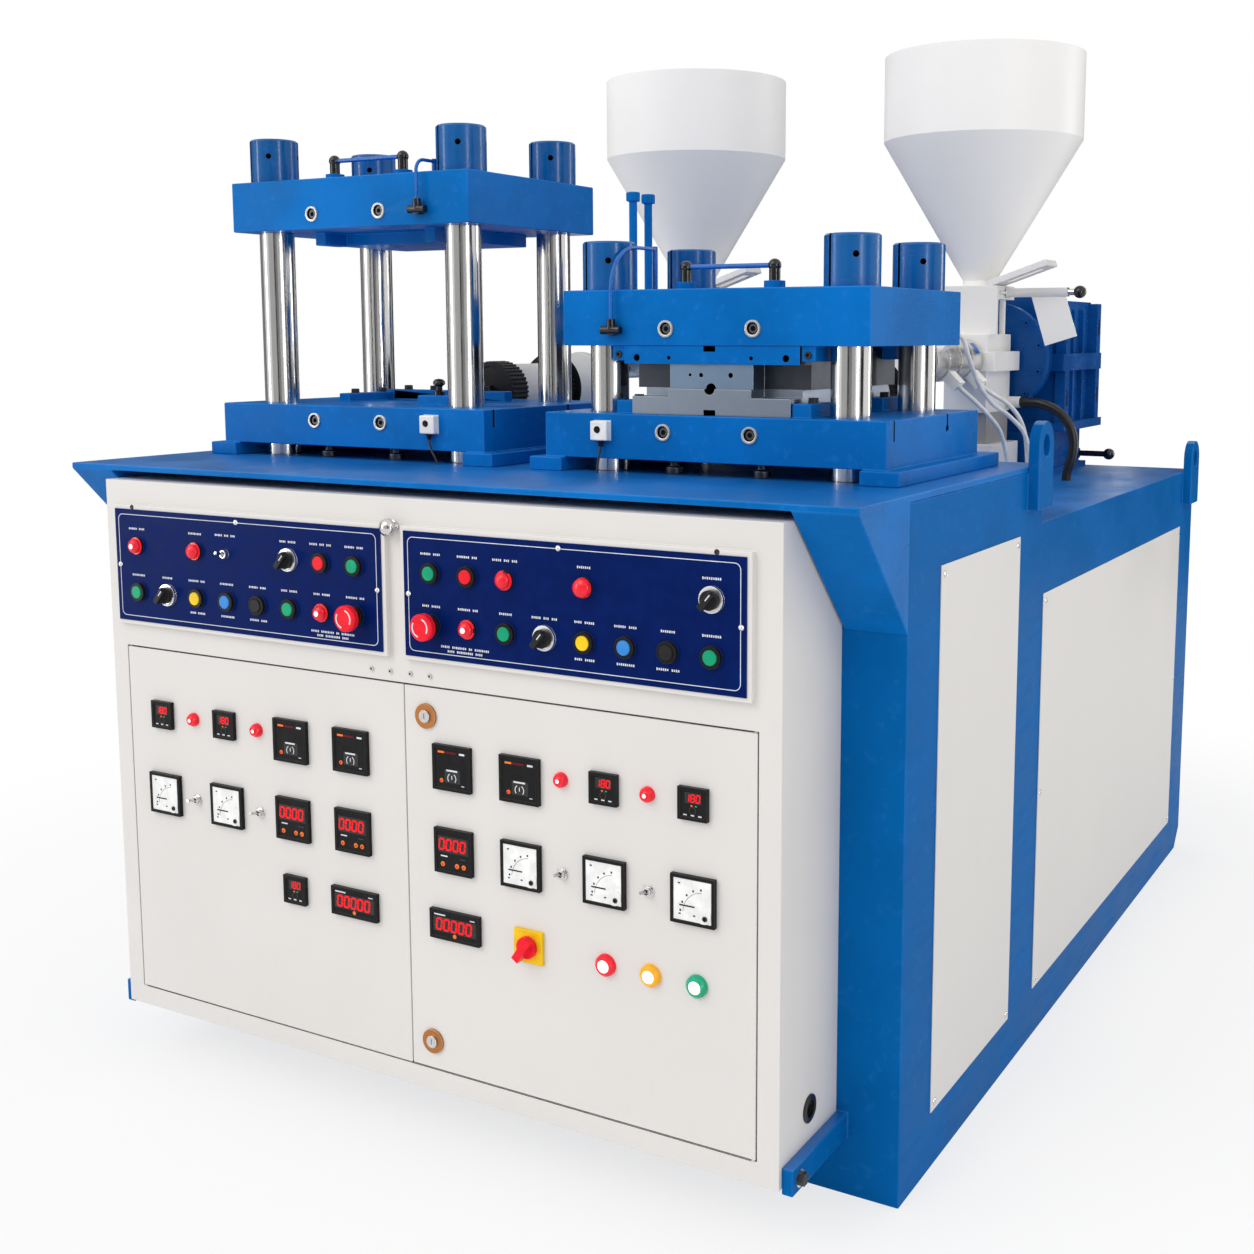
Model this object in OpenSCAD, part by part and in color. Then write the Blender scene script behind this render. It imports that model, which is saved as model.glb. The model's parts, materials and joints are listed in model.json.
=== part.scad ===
// Two-station moulding machine: two screw extruders with hoppers feed two four-pillar presses,
// which stand on one base behind a shared control cabinet. The left press is open and the right
// one is closed on its mould. X runs to the right, Y to the back and Z up, and the origin is on
// the floor under the middle of the machine.

/* [Base] */
// Width of the base
base_w = 1516; // [1500:2:1640]
// Depth of the base behind the cabinet
base_depth = 1927; // [1900:1:2100]
// Height of the bed top above the floor
bed_h = 1074; // [1060:1:1110]
// Height of the rear deck above the floor
deck_h = 968; // [950:1:990]
// Depth of the bed, from the base front to the step
bed_run = 639; // [625:1:680]
// Thickness of the base plates
wall_t = 8; // [5:1:12]
// Thickness of the bed plate
bed_plate_t = 10; // [8:1:16]
// How far the bed plate hangs over the cabinet
bed_overhang = 184; // [120:1:190]
// Height of the corbels under the overhang
corbel_h = 191; // [120:1:260]
// Width of the flange that rests on the floor
foot_flange_w = 60; // [40:1:90]
// Thickness of the flange that rests on the floor
foot_flange_t = 10; // [8:1:16]
// Size of the cut-off lower rear corner
rear_chamfer = 45; // [20:1:60]
// Height of the cross bearers that carry the oil tank
bearer_h = 60; // [40:1:90]

/* [Side covers and lugs] */
// Thickness of the side cover sheets
cover_t = 2; // [1.5:0.5:4]
// Lap of a cover over its window
cover_lap = 18; // [10:1:30]
// Height of the front side cover
front_cover_h = 863; // [820:1:880]
// Height of the rear side cover
rear_cover_h = 743; // [700:1:800]
// Height of the covers' lower edge above the floor
cover_foot = 95; // [80:1:120]
// Thickness of a lifting lug
lug_t = 20; // [14:1:25]
// Width of a lifting lug
lug_w = 85; // [75:1:95]
// Radius of the hole in a lifting lug
lug_hole_r = 20; // [14:0.5:24]
// Length of the straight part of a lifting lug
lug_leg = 110; // [90:1:130]

/* [Cabinet] */
// Width of the control cabinet
cabinet_w = 1311; // [1306:1:1330]
// Height of the control cabinet
cabinet_h = 950; // [945:1:955]
// Depth of the control cabinet
cabinet_depth = 198; // [192:1:230]
// Height of the cabinet's underside above the floor
cabinet_foot = 100; // [95:1:103]
// Thickness of the cabinet sheet
sheet_t = 3; // [2:0.5:4]
// Radius of the cable hole in the right side
cable_hole_r = 16; // [10:1:22]
// Thickness of the bars that carry the cabinet
carrier_t = 18; // [12:1:24]
// Height of the bars that carry the cabinet
carrier_h = 40; // [30:1:60]

/* [Doors] */
// Width of one door
door_w = 617; // [612:1:622]
// Height of the doors
door_h = 621; // [610:1:630]
// Height of the doors' lower edge above the floor
door_foot = 137; // [130:1:140]
// Depth of a door's folded edge
door_depth = 18; // [16:1:24]
// Gap round a door
door_gap = 2.2; // [2:0.1:3]
// Radius of a hinge pin
hinge_pin_r = 3; // [2.5:0.1:3.2]
// Distance of the hinge axis behind and beside the door's corner
hinge_set = 4; // [3.8:0.1:4.2]

/* [Control panels] */
// Width of one control panel
panel_w = 606; // [596:1:612]
// Height of one control panel
panel_h = 208; // [200:1:214]
// Height of the panels' middle above the floor
panel_z = 905; // [895:1:912]
// How far the panel trays stand out of the cabinet
tray_t = 10; // [8:1:16]
// Width of the tray's rim round the plate
rim_w = 7; // [5:1:9]
// Thickness of a panel plate
plate_t = 2; // [1.5:0.5:3]
// Distance between the columns of controls
column_pitch = 69.4; // [66:0.1:71]
// Distance between the two rows of controls
row_pitch = 80; // [72:1:90]

/* [Controls] */
// Radius of a push button's cap
cap_r = 11; // [9:0.5:12]
// Outer radius of a push button's bezel
bezel_r = 16; // [14:0.5:17]
// Height of a bezel
bezel_h = 7; // [6:0.5:9]
// Travel of a push button
button_travel = 4; // [3:0.5:5]
// Radius of an emergency stop's head
stop_head_r = 21; // [18:0.5:24]
// Height of an emergency stop's head
stop_head_h = 17; // [14:0.5:20]
// Travel of an emergency stop
stop_travel = 5; // [3:0.5:6]
// Radius of a selector's knob
selector_r = 14; // [12:0.5:15]
// Length of a toggle lever outside its bush
toggle_len = 18; // [14:0.5:24]
// Lean of a toggle lever at rest
toggle_lean = 12; // [8:1:14]
// Width of the main switch plate
switch_plate_w = 52; // [46:1:60]
// Radius of a door lock's barrel
lock_r = 10; // [8:0.5:12]

/* [Instruments] */
// Width of a square panel meter
meter_w = 72; // [68:1:76]
// Width of a square temperature controller
controller_w = 48; // [45:1:52]
// Width of a counter
counter_w = 96; // [90:1:100]
// Depth of an instrument behind the door
instrument_depth = 60; // [40:1:70]
// How far an instrument's frame stands out of the door
instrument_proud = 8; // [5:0.5:10]

/* [Presses] */
// Distance between the two stations
station_pitch = 742; // [720:1:752]
// Distance of the press axes behind the base front
press_set = 309; // [300:1:318]
// Width of a lower platen
lower_w = 614; // [600:1:620]
// Depth of a lower platen
lower_depth = 411; // [400:1:418]
// Thickness of a lower platen
lower_t = 74; // [60:1:84]
// Width of an upper platen
upper_w = 550; // [535:1:570]
// Depth of an upper platen
upper_depth = 392; // [380:1:400]
// Thickness of an upper platen
upper_t = 90; // [80:1:110]
// Height of the rails under a lower platen
rail_h = 23; // [18:1:30]
// Width of the rails under a lower platen
rail_w = 64; // [50:1:70]
// Opening between the platens of a closed press
closed_gap = 110; // [100:1:130]
// Travel of an upper platen
clamp_travel = 208; // [180:1:220]
// Radius of a pillar
pillar_r = 32; // [28:0.5:34]
// Distance between the pillars across the machine
pillar_span = 439; // [430:1:445]
// Distance between the pillars along the machine
pillar_run = 279; // [270:1:285]
// Radius of a pillar nut
nut_r = 44; // [42:0.5:48]
// Height of a pillar nut
nut_h = 80; // [70:1:95]
// Radius of the hole round each pillar in the bed
bed_hole_r = 38; // [36.5:0.5:42]

/* [Mould] */
// Width of the mould
mould_w = 316; // [300:2:330]
// Depth of the mould
mould_depth = 388; // [360:2:390]
// Width of the mould's lower half
lower_mould_w = 286; // [270:2:300]
// Depth of the pockets beside the core
pocket_depth = 45; // [30:1:60]
// Width of the mould's raised middle
core_w = 150; // [130:2:170]
// Thickness of the mould's top plate
top_plate_t = 29; // [24:1:34]
// Height of the mould's lower half
lower_half_h = 42; // [36:1:48]
// Depth of the step at the sides of the lower half
side_step = 13; // [8:1:18]
// Radius of the sprue hole
sprue_r = 9; // [6:0.5:11]

/* [Shot units] */
// Height of a shot unit's axis above the bed
shot_rise = 111; // [106:1:118]
// Distance of a shot unit's front behind the press axis
shot_set = 225; // [222:1:230]
// Radius of the toothed collars
collar_r = 61; // [56:1:64]
// Number of teeth on a collar
collar_teeth = 40; // [24:1:60]
// Radius of the cylinder between the collars
shot_r = 54; // [48:1:56]
// Radius of the rear jacket
jacket_r = 74; // [66:1:78]
// Length of the rear jacket
jacket_len = 120; // [100:1:124]

/* [Extruders] */
// Height of a screw's axis above the rear deck
screw_rise = 277; // [274:1:280]
// Distance of a barrel's front behind the press axis
barrel_set = 705; // [700:1:708]
// Length of a barrel from its front to the gearbox
barrel_len = 494; // [490:1:500]
// Outer radius of a barrel
barrel_r = 38; // [34:1:40]
// Radius of a barrel's bore
bore_r = 22.5; // [20:0.5:26]
// Radius of the heater bands
band_r = 46; // [43:1:49]
// Width of a heater band
band_w = 66; // [60:1:67]
// Gap between heater bands
band_gap = 7; // [4:1:8]
// Turns of a screw's flight
flight_turns = 9; // [6:1:12]
// Radius of a screw's core
core_r = 14; // [10:0.5:16]
// Radius of a screw's shank
shank_r = 20; // [16:0.5:24]

/* [Feed and hoppers] */
// Distance of the hoppers behind the press axis
hopper_set = 1093; // [1085:1:1100]
// Width of a feed block
feed_w = 100; // [96:1:110]
// Depth of a feed block
feed_depth = 170; // [160:1:174]
// Height of a feed block above the screw axis
feed_rise = 56; // [50:1:62]
// Depth of a feed block below the screw axis
feed_drop = 120; // [112:1:124]
// Height of the column on a feed block
column_h = 78; // [66:1:90]
// Outer radius of the pipe in the column
pipe_r = 36; // [35:0.5:40]
// Width of the gate plates
gate_w = 126; // [122:1:132]
// Thickness of a gate plate
gate_plate_t = 12; // [10:1:16]
// Thickness of the gate blade
blade_t = 6; // [4:0.5:8]
// Radius of the hole through the gate
throat_r = 30; // [24:1:34]
// Travel of a hopper gate
gate_travel = 75; // [70:1:80]
// Outer radius of a hopper
hopper_r = 222; // [200:1:240]
// Radius of a hopper's neck
neck_r = 37; // [35:1:44]
// Height of a hopper's neck
neck_h = 12; // [8:1:20]
// Height of a hopper's cone
cone_h = 310; // [280:1:330]
// Height of a hopper's straight wall
drum_h = 186; // [160:1:210]
// Thickness of a hopper's sheet
hopper_t = 3; // [2:0.5:4]

/* [Gearboxes] */
// Radius of the gearbox's front flange
flange_r = 130; // [124:1:136]
// Width of a gearbox housing
gear_w = 250; // [230:2:270]
// Depth of a gearbox housing
gear_depth = 290; // [280:1:294]
// Rise of a gearbox housing above the screw axis
gear_rise = 136; // [126:1:146]
// Height of a gearbox pedestal
pedestal_h = 104; // [90:1:108]
// Thickness of the housing's flanges
gear_flange_t = 20; // [14:1:24]
// How far the housing's flanges stand out
gear_flange_out = 24; // [18:1:30]

/* [Hydraulics] */
// Outer radius of a clamp cylinder
cylinder_r = 75; // [70:1:85]
// Length of a clamp cylinder
cylinder_len = 400; // [390:1:420]
// Radius of a clamp cylinder's bore
piston_r = 60; // [50:1:62]
// Radius of a ram
ram_r = 40; // [30:1:44]
// Thickness of a crosshead
crosshead_t = 60; // [50:1:70]
// Width of the oil tank
tank_w = 760; // [700:2:800]
// Depth of the oil tank
tank_depth = 560; // [520:1:600]
// Height of the oil tank
tank_h = 330; // [300:1:360]

/* [Fits] */
// Radial clearance of a running fit
run_fit = 0.05; // [0.02:0.01:0.1]
// Clearance between loose neighbours
loose = 0.5; // [0.4:0.1:0.6]

/* [Hidden] */
$fn = 64;
over = 1;

// Depths are counted from the cabinet front, and back() turns one into a place on the Y axis.
stop_under = bezel_h + stop_travel + loose;
front_reach = tray_t + plate_t + stop_under + stop_head_h;
rear_d = cabinet_depth + base_depth;
front_y = (front_reach - rear_d) / 2;
function back(d) = front_y + d;

// Base and bed
bed_front_d = cabinet_depth - bed_overhang;
step_d = cabinet_depth + bed_run;
bed_under = bed_h - bed_plate_t;
base_half = base_w / 2;
cabinet_half = cabinet_w / 2;
front_cover_d = [cabinet_depth + 126, step_d - 129];
rear_cover_d = [step_d + 17, rear_d - 139];
lug_d = [step_d - lug_w / 2 - 7, rear_d - lug_w / 2 - 32];
lug_foot = [bed_h - 75, deck_h - 78];
bearer_w = 80;
tank_front_d = step_d + 320;
bearer_d = [tank_front_d + 30, tank_front_d + tank_depth - 30 - bearer_w];

// Cabinet front: two doors side by side under two control panels
opening_half = door_w + 1.5 * door_gap;
opening_foot = door_foot - door_gap;
opening_h = door_h + 2 * door_gap;
door_x = door_w / 2 + door_gap / 2;
hinge_x = door_x + door_w / 2 - hinge_set;
hinge_block = 14;
hinge_reach = 15;
panel_x = [-326, 311];
plate_front_d = -tray_t - plate_t;
face_hole_r = cap_r + run_fit;
retainer_t = 2;
retainer_r = cap_r + 2;
toggle_ball_r = 4;
toggle_bush_r = 7;
toggle_bush_h = 8;
toggle_bore_r = toggle_ball_r + 0.3;
toggle_rod_r = 2.2;
toggle_pin_r = 1;
toggle_pin_len = 2 * toggle_ball_r + 0.2;
toggle_pivot = toggle_bush_h - toggle_ball_r - 0.5;
switch_plate_t = 6;
switch_shaft_r = 9;
lock_ring_h = 4;
carrier_foot = cabinet_foot - 8;

// Panel controls: name, panel, column, row, colour
BUTTONS = [
    ["left_run_button", 0, 7, 1, "seagreen"],
    ["left_halt_button", 0, 6, 1, "crimson"],
    ["left_start_button", 0, 0, 0, "seagreen"],
    ["left_yellow_button", 0, 2, 0, "gold"],
    ["left_blue_button", 0, 3, 0, "royalblue"],
    ["left_black_button", 0, 4, 0, "dimgray"],
    ["left_cycle_button", 0, 5, 0, "seagreen"],
    ["right_start_button", 1, 0, 1, "seagreen"],
    ["right_halt_button", 1, 1, 1, "crimson"],
    ["right_run_button", 1, 2, 0, "seagreen"],
    ["right_yellow_button", 1, 4, 0, "gold"],
    ["right_blue_button", 1, 5, 0, "royalblue"],
    ["right_black_button", 1, 6, 0, "dimgray"],
    ["right_cycle_button", 1, 7, 0, "seagreen"],
];
STOPS = [
    ["left_emergency_stop", 0, 7, 0],
    ["right_emergency_stop", 1, 0, 0],
];
SELECTORS = [
    ["left_upper_selector", 0, 5, 1],
    ["left_lower_selector", 0, 1, 0],
    ["right_upper_selector", 1, 7, 1],
    ["right_lower_selector", 1, 3, 0],
];
// Fixed panel lamps: panel, column, row
LAMPS = [[0, 0, 1], [0, 2, 1], [0, 6, 0], [1, 1, 0], [1, 2, 1], [1, 4, 1]];
panel_toggle = [0, 3, 1];

function column_x(panel, column) = panel_x[panel] + (column - 3.5) * column_pitch;
function row_z(row) = panel_z - 5 + (row - 0.5) * row_pitch;
function control_at(c) = [column_x(c[1], c[2]), plate_front_d, row_z(c[3])];
function lamp_at(c) = [column_x(c[0], c[1]), plate_front_d, row_z(c[2])];

// Door instruments: width, height, place across the door and height above the floor
meter_rows = [637, 504, 383];
left_columns = [-226, -79, 71, 200];
right_columns = [-215, -88, 61, 210];
lamp_offset = 73;
INSTRUMENTS = [
    [
        [controller_w, controller_w, left_columns[0], meter_rows[0] + 8],
        [controller_w, controller_w, left_columns[1], meter_rows[0] + 8],
        [meter_w, meter_w, left_columns[2], meter_rows[0]],
        [meter_w, meter_w, left_columns[3], meter_rows[0]],
        [meter_w, meter_w, left_columns[0], meter_rows[1]],
        [meter_w, meter_w, left_columns[1], meter_rows[1]],
        [meter_w, meter_w, left_columns[2], meter_rows[1]],
        [meter_w, meter_w, left_columns[3], meter_rows[1]],
        [controller_w, controller_w, left_columns[2], meter_rows[2]],
        [counter_w, controller_w, left_columns[3], meter_rows[2]],
    ],
    [
        [meter_w, meter_w, right_columns[0], meter_rows[0]],
        [meter_w, meter_w, right_columns[1], meter_rows[0]],
        [controller_w, controller_w, right_columns[2], meter_rows[0] + 8],
        [controller_w, controller_w, right_columns[3], meter_rows[0] + 8],
        [meter_w, meter_w, right_columns[0], meter_rows[1]],
        [meter_w, meter_w, right_columns[1], meter_rows[1]],
        [meter_w, meter_w, right_columns[2], meter_rows[1]],
        [meter_w, meter_w, right_columns[3], meter_rows[1]],
        [counter_w, controller_w, right_columns[0], meter_rows[2]],
    ],
];
// Door lamps: radius, place across the door and height above the floor
small_lamp_r = 11;
large_lamp_r = 16;
DOOR_LAMPS = [
    [
        [small_lamp_r, left_columns[0] + lamp_offset, meter_rows[0] + 8],
        [small_lamp_r, left_columns[1] + lamp_offset, meter_rows[0] + 8],
    ],
    [
        [small_lamp_r, right_columns[1] + lamp_offset, meter_rows[0] + 10],
        [small_lamp_r, right_columns[2] + lamp_offset, meter_rows[0] + 10],
        [large_lamp_r, right_columns[2], meter_rows[2] - 6],
        [large_lamp_r, right_columns[2] + 77, meter_rows[2] - 6],
        [large_lamp_r, right_columns[2] + 154, meter_rows[2] - 6],
    ],
];
// Door toggles: name, door, place across the door
TOGGLES = [
    ["left_door_toggle_1", 0, left_columns[0] + lamp_offset],
    ["left_door_toggle_2", 0, left_columns[1] + lamp_offset],
    ["right_door_toggle_1", 1, right_columns[1] + lamp_offset],
    ["right_door_toggle_2", 1, right_columns[2] + lamp_offset],
];
// Door locks: name, height above the floor
LOCKS = [["upper_lock", 713], ["lower_lock", 183]];
lock_x = -266;
main_switch_at = [right_columns[1] + 12, meter_rows[2] - 4];
toggle_z = meter_rows[1] - 1;

function door_side(door) = door == 0 ? -1 : 1;
function on_door(door, x, z) = [door_side(door) * door_x + x, 0, z];

// Stations: -1 is the left one, open, and 1 the right one, closed
function station_x(s) = s * station_pitch / 2;
press_d = cabinet_depth + press_set;
lower_foot = bed_h + rail_h;
lower_top = lower_foot + lower_t;
closed_foot = lower_top + closed_gap;
function upper_foot(s) = closed_foot + (s < 0 ? clamp_travel : 0);
function upper_top(s) = upper_foot(s) + upper_t;
pillar_grip = 60;
slot_w = 5;
pin_hole_r = 5;
port_r = 9;
port_depth = 26;
port_half = 78;
ring_r = 13.5;
ring_t = 3;
sensor_x = 193;
sensor_w = 32;
sensor_t = 14;
function sensor_place(s) = station_x(s) - s * sensor_x;
lower_port_z = lower_foot + 46;
upper_port_rise = 27;
// Slots in a lower platen's right side: distance behind the front, width, depth below the top
SIDE_SLOTS = [[28, 4, 32], [258, 5, 24]];
keyhole_r = 6;
side_slot_in = 12;
tee_x = 174;
tee_rise = 25;
tee_out = 12;
tee_arm = 18;
// Air tubes: bend radius, turn about Z, length after the bend, rise before it
LEFT_AIR = [20, 0, 30, upper_t - tee_rise - tee_arm];
RIGHT_AIR = [70, -3, 60, upper_t - tee_rise - tee_arm];
air_post_r = 4.5;
tube_r = 3;
line_r = 4;
elbow_x = [-75, 85];
elbow_set = 135;
elbow_rise = 36;
rail_front = 12;
rail_tail = 30;
limit_rod_x = -250;
foot_bolt = [14, 12, 8];
foot_bolt_x = 80;
foot_bolt_set = 40;

// Clamp drive under the bed
cylinder_foot = bed_under - cylinder_len;
head_t = 24;
piston_t = 40;
open_crosshead_top = cylinder_foot - 50;
function crosshead_top(s) = open_crosshead_top - (s < 0 ? 0 : clamp_travel);
pillar_tail = 50;
lock_collar_h = 36;

// Axes of the shot units and screws, and extruder stations along Y
shot_z = bed_h + shot_rise;
screw_z = deck_h + screw_rise;
barrel_d = press_d + barrel_set;
gear_d = barrel_d + barrel_len;
hopper_d = press_d + hopper_set;
feed_d = hopper_d - feed_depth / 2;
feed_flange = [140, 184, 44];
feed_flange_drop = 27;
bands = 4;
band_pitch = band_w + band_gap;
band_d = feed_d - (feed_flange[1] - feed_depth) / 2 - bands * band_pitch + band_gap / 2;
jacket_step = 4;
plug = [34, 34, 24];
feed_top = screw_z + feed_rise;
feed_foot = screw_z - feed_drop;
gate_z = feed_top + column_h;
blade_z = gate_z + gate_plate_t;
blade_w = 2 * throat_r + 30;
gate_slot = blade_t + loose;
gate_top = blade_z + gate_slot + gate_plate_t;
bar_w = 20;
bar_len = 139;
bar_x = gate_w / 2 + 4;
knob_r = 14;
knob_stem = 26;
rod_r = 7;
column_plate_t = 12;
rod_at = [46, 30];
stand = [100, 150];
plinth = [140, 190, 86];
hose_union = [13, 34];
hose_at = [62, 177];

// Shot units: a front nozzle, two toothed collars, a jacket and a pipe to the riser
shot_d = press_d + shot_set;
nozzle_len = 10;
nozzle_r = 12;
collar_len = 52;
cap_r_in = 50;
cap_set = 5;
rear_collar_len = 20;
rear_collar_d = shot_d + 203;
jacket_d = rear_collar_d + rear_collar_len;
jacket_rim = [77, 8];
pipe_run_r = 34;
riser_d = barrel_d - 30;
riser = [72, 34];
riser_foot = min(shot_z - pipe_run_r - over, screw_z - barrel_r);
riser_top = max(shot_z + pipe_run_r, screw_z + barrel_r);
melt_r = 8;
barrel_front_t = 8;

// Gearbox
flange_t = 26;
bell_len = 74;
housing_d = gear_d + flange_t + bell_len;
pedestal_top = deck_h + pedestal_h;
pedestal_d = gear_d + 12;
shank_len = 220;
shank_bore_r = shank_r + run_fit;

// Hand-chosen routes of the heater leads from a plug to the deck, and of the cooling hose. They
// are counted from the station, the middle of the machine and the deck, and both stations share
// them. The sensor leads run down to the bed from under the box on each lower platen.
lead_d = 10;
sensor_lead_d = 4;
hose_d = 22;
LEAD_ROUTES = [
    [[55, 280, 222], [65, 282, 212], [83, 304, 190], [95, 350, 162], [100, 414, 128], [100, 458, 90],
     [99, 484, 46], [99, 490, 0]],
    [[55, 426, 222], [65, 427, 212], [85, 444, 196], [103, 472, 178], [117, 506, 148], [123, 536, 108],
     [125, 550, 56], [125, 554, 0]],
    [[60, 207, 327], [70, 210, 333], [81, 226, 322], [85, 262, 276], [89, 312, 226], [99, 372, 184],
     [115, 440, 154], [135, 490, 114], [143, 512, 58], [143, 516, 0]],
];
SENSOR_ROUTES = [
    [[0, 0, 0], [0, 0, -10], [6, -2, -27], [16, -3, -43], [20, -3, -53]],
    [[0, 0, 0], [0, 0, -10], [-1, -3, -25], [-2, -6, -41], [-2, -7, -53]],
];
HOSE_ROUTE = [[84, 620, 177], [104, 620, 177], [136, 620, 174], [174, 620, 157], [201, 620, 126],
              [212, 620, 87], [207, 620, 48], [199, 620, 20], [197, 620, 0]];
down = [0, 0, -1];
to_right = [1, 0, 0];
// The way from a screw's axis to the start of a lead
function lead_way(route) = [route[0][0], 0, route[0][2] - screw_rise];

blue = "royalblue";
white = "whitesmoke";
steel = "silver";
dark = "dimgray";

// Helpers

// A box centred across the machine on x, from depth d to the back and from z upwards
module block(x, d, z, size) {
    translate([x - size[0] / 2, back(d), z]) cube(size);
}

// Turns a shape that is drawn upwards so that it points out of the front
module facing_front(at) {
    translate([at[0], back(at[1]), at[2]]) rotate([90, 0, 0]) children();
}

// A shape drawn upwards that instead points to the back, from depth d on a screw's axis
module along_screw(s, d) {
    translate([station_x(s), back(d), screw_z]) rotate([-90, 0, 0]) children();
}

// A side outline given in depth and height, drawn through a width that starts at x
module side_cut(x, width, outline) {
    translate([x, 0, 0]) rotate([90, 0, 90]) linear_extrude(width)
        polygon([for (p = outline) [back(p[0]), p[1]]]);
}

// Repeats its children at the four pillars of a station
module at_pillars(s) {
    for (i = [-1, 1], j = [-1, 1])
        translate([station_x(s) + i * pillar_span / 2, back(press_d) + j * pillar_run / 2, 0]) children();
}

// Points of a smooth curve through a route
function route_point(p, i) = p[max(0, min(len(p) - 1, i))];
function curve(p, i, t) =
    let (a = route_point(p, i - 1), b = route_point(p, i), c = route_point(p, i + 1),
          e = route_point(p, i + 2))
    0.5 * (2 * b + (c - a) * t + (2 * a - 5 * b + 4 * c - e) * t * t + (3 * b - a - 3 * c + e) * t * t * t);
function smooth_route(p, steps) = [
    for (i = [0 : len(p) - 2], k = [0 : steps - 1]) curve(p, i, k / steps),
    p[len(p) - 1],
];
function unit(v) = v / norm(v);

// A tube along a smooth curve that leaves square to first_way and ends upright, both ends closed
module tube(route, diameter, sides, steps, first_way) {
    p = smooth_route(route, steps);
    n = len(p);
    side_way = [0.2, 1, 0.1];
    rings = [
        for (i = [0 : n - 1])
            let (t = i == 0 ? unit(first_way) : i == n - 1 ? down : unit(p[i + 1] - p[i - 1]),
                 u = unit(cross(t, side_way)), v = cross(t, u))
            for (k = [0 : sides - 1])
                p[i] + diameter / 2 * (cos(360 * k / sides) * u + sin(360 * k / sides) * v)
    ];
    walls = [
        for (i = [0 : n - 2], k = [0 : sides - 1])
            let (a = i * sides + k, b = i * sides + (k + 1) % sides)
            [a, a + sides, b + sides, b]
    ];
    ends = [[for (k = [0 : sides - 1]) k], [for (k = [sides - 1 : -1 : 0]) (n - 1) * sides + k]];
    polyhedron(rings, concat(walls, ends), convexity = 4);
}

// Base

module base_outline_solid() {
    side_cut(-base_half, base_w, [
        [cabinet_depth, 0],
        [rear_d - rear_chamfer, 0],
        [rear_d, rear_chamfer],
        [rear_d, deck_h],
        [step_d, deck_h],
        [step_d, bed_under],
        [cabinet_depth, bed_under],
    ]);
}

module base_hollow() {
    inner_w = base_w - 2 * wall_t;
    inner_d = cabinet_depth + wall_t;
    block(0, inner_d, foot_flange_t,
          [inner_w, base_depth - 2 * wall_t - rear_chamfer, deck_h - wall_t - foot_flange_t]);
    block(0, inner_d, rear_chamfer + wall_t,
          [inner_w, base_depth - 2 * wall_t, deck_h - 2 * wall_t - rear_chamfer]);
    block(0, inner_d, deck_h - 2 * wall_t, [inner_w, bed_run - 2 * wall_t, bed_h - deck_h + 2 * wall_t]);
    block(0, inner_d + foot_flange_w, -over,
          [inner_w - 2 * foot_flange_w, base_depth - 2 * (wall_t + foot_flange_w) - rear_chamfer,
                2 * foot_flange_t]);
}

module cover_windows() {
    for (w = [[front_cover_d, front_cover_h], [rear_cover_d, rear_cover_h]])
        block(0, w[0][0] + cover_lap, cover_foot + cover_lap,
              [base_w + 2 * over, w[0][1] - w[0][0] - 2 * cover_lap, w[1] - 2 * cover_lap]);
}

module lifting_lug(side, d, z) {
    x = side > 0 ? base_half : -base_half - lug_t;
    difference() {
        union() {
            translate([x, back(d) - lug_w / 2, z]) cube([lug_t, lug_w, lug_leg]);
            translate([x, back(d), z + lug_leg]) rotate([0, 90, 0]) cylinder(r = lug_w / 2, h = lug_t);
        }
        translate([x - over, back(d), z + lug_leg]) rotate([0, 90, 0])
            cylinder(r = lug_hole_r, h = lug_t + 2 * over);
    }
}

module base_frame() {
    color(blue) union() {
        difference() {
            base_outline_solid();
            base_hollow();
            cover_windows();
        }
        for (d = bearer_d)
            block(0, d, 0, [base_w - 2 * wall_t, bearer_w, bearer_h]);
        for (side = [-1, 1]) {
            for (i = [0, 1])
                lifting_lug(side, lug_d[i], lug_foot[i]);
            block(side * (cabinet_half + carrier_t / 2), wall_t, carrier_foot,
                  [carrier_t, cabinet_depth - wall_t + over, carrier_h]);
        }
    }
}

module bed_plate() {
    corbel_x = cabinet_half + 3;
    color(blue) difference() {
        union() {
            block(0, bed_front_d, bed_under, [base_w, step_d - bed_front_d, bed_plate_t]);
            for (x = [-base_half, corbel_x])
                side_cut(x, base_half - corbel_x, [
                    [bed_front_d, bed_under],
                    [cabinet_depth, bed_under - corbel_h],
                    [cabinet_depth, bed_under],
                ]);
        }
        for (s = [-1, 1])
            at_pillars(s)
                translate([0, 0, bed_under - over]) cylinder(r = bed_hole_r, h = bed_plate_t + 2 * over);
    }
}

module side_covers() {
    color(white)
        for (side = [-1, 1], w = [[front_cover_d, front_cover_h], [rear_cover_d, rear_cover_h]])
            block(side * (base_half + cover_t / 2), w[0][0], cover_foot,
                  [cover_t, w[0][1] - w[0][0], w[1]]);
}

// Cabinet

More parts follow.
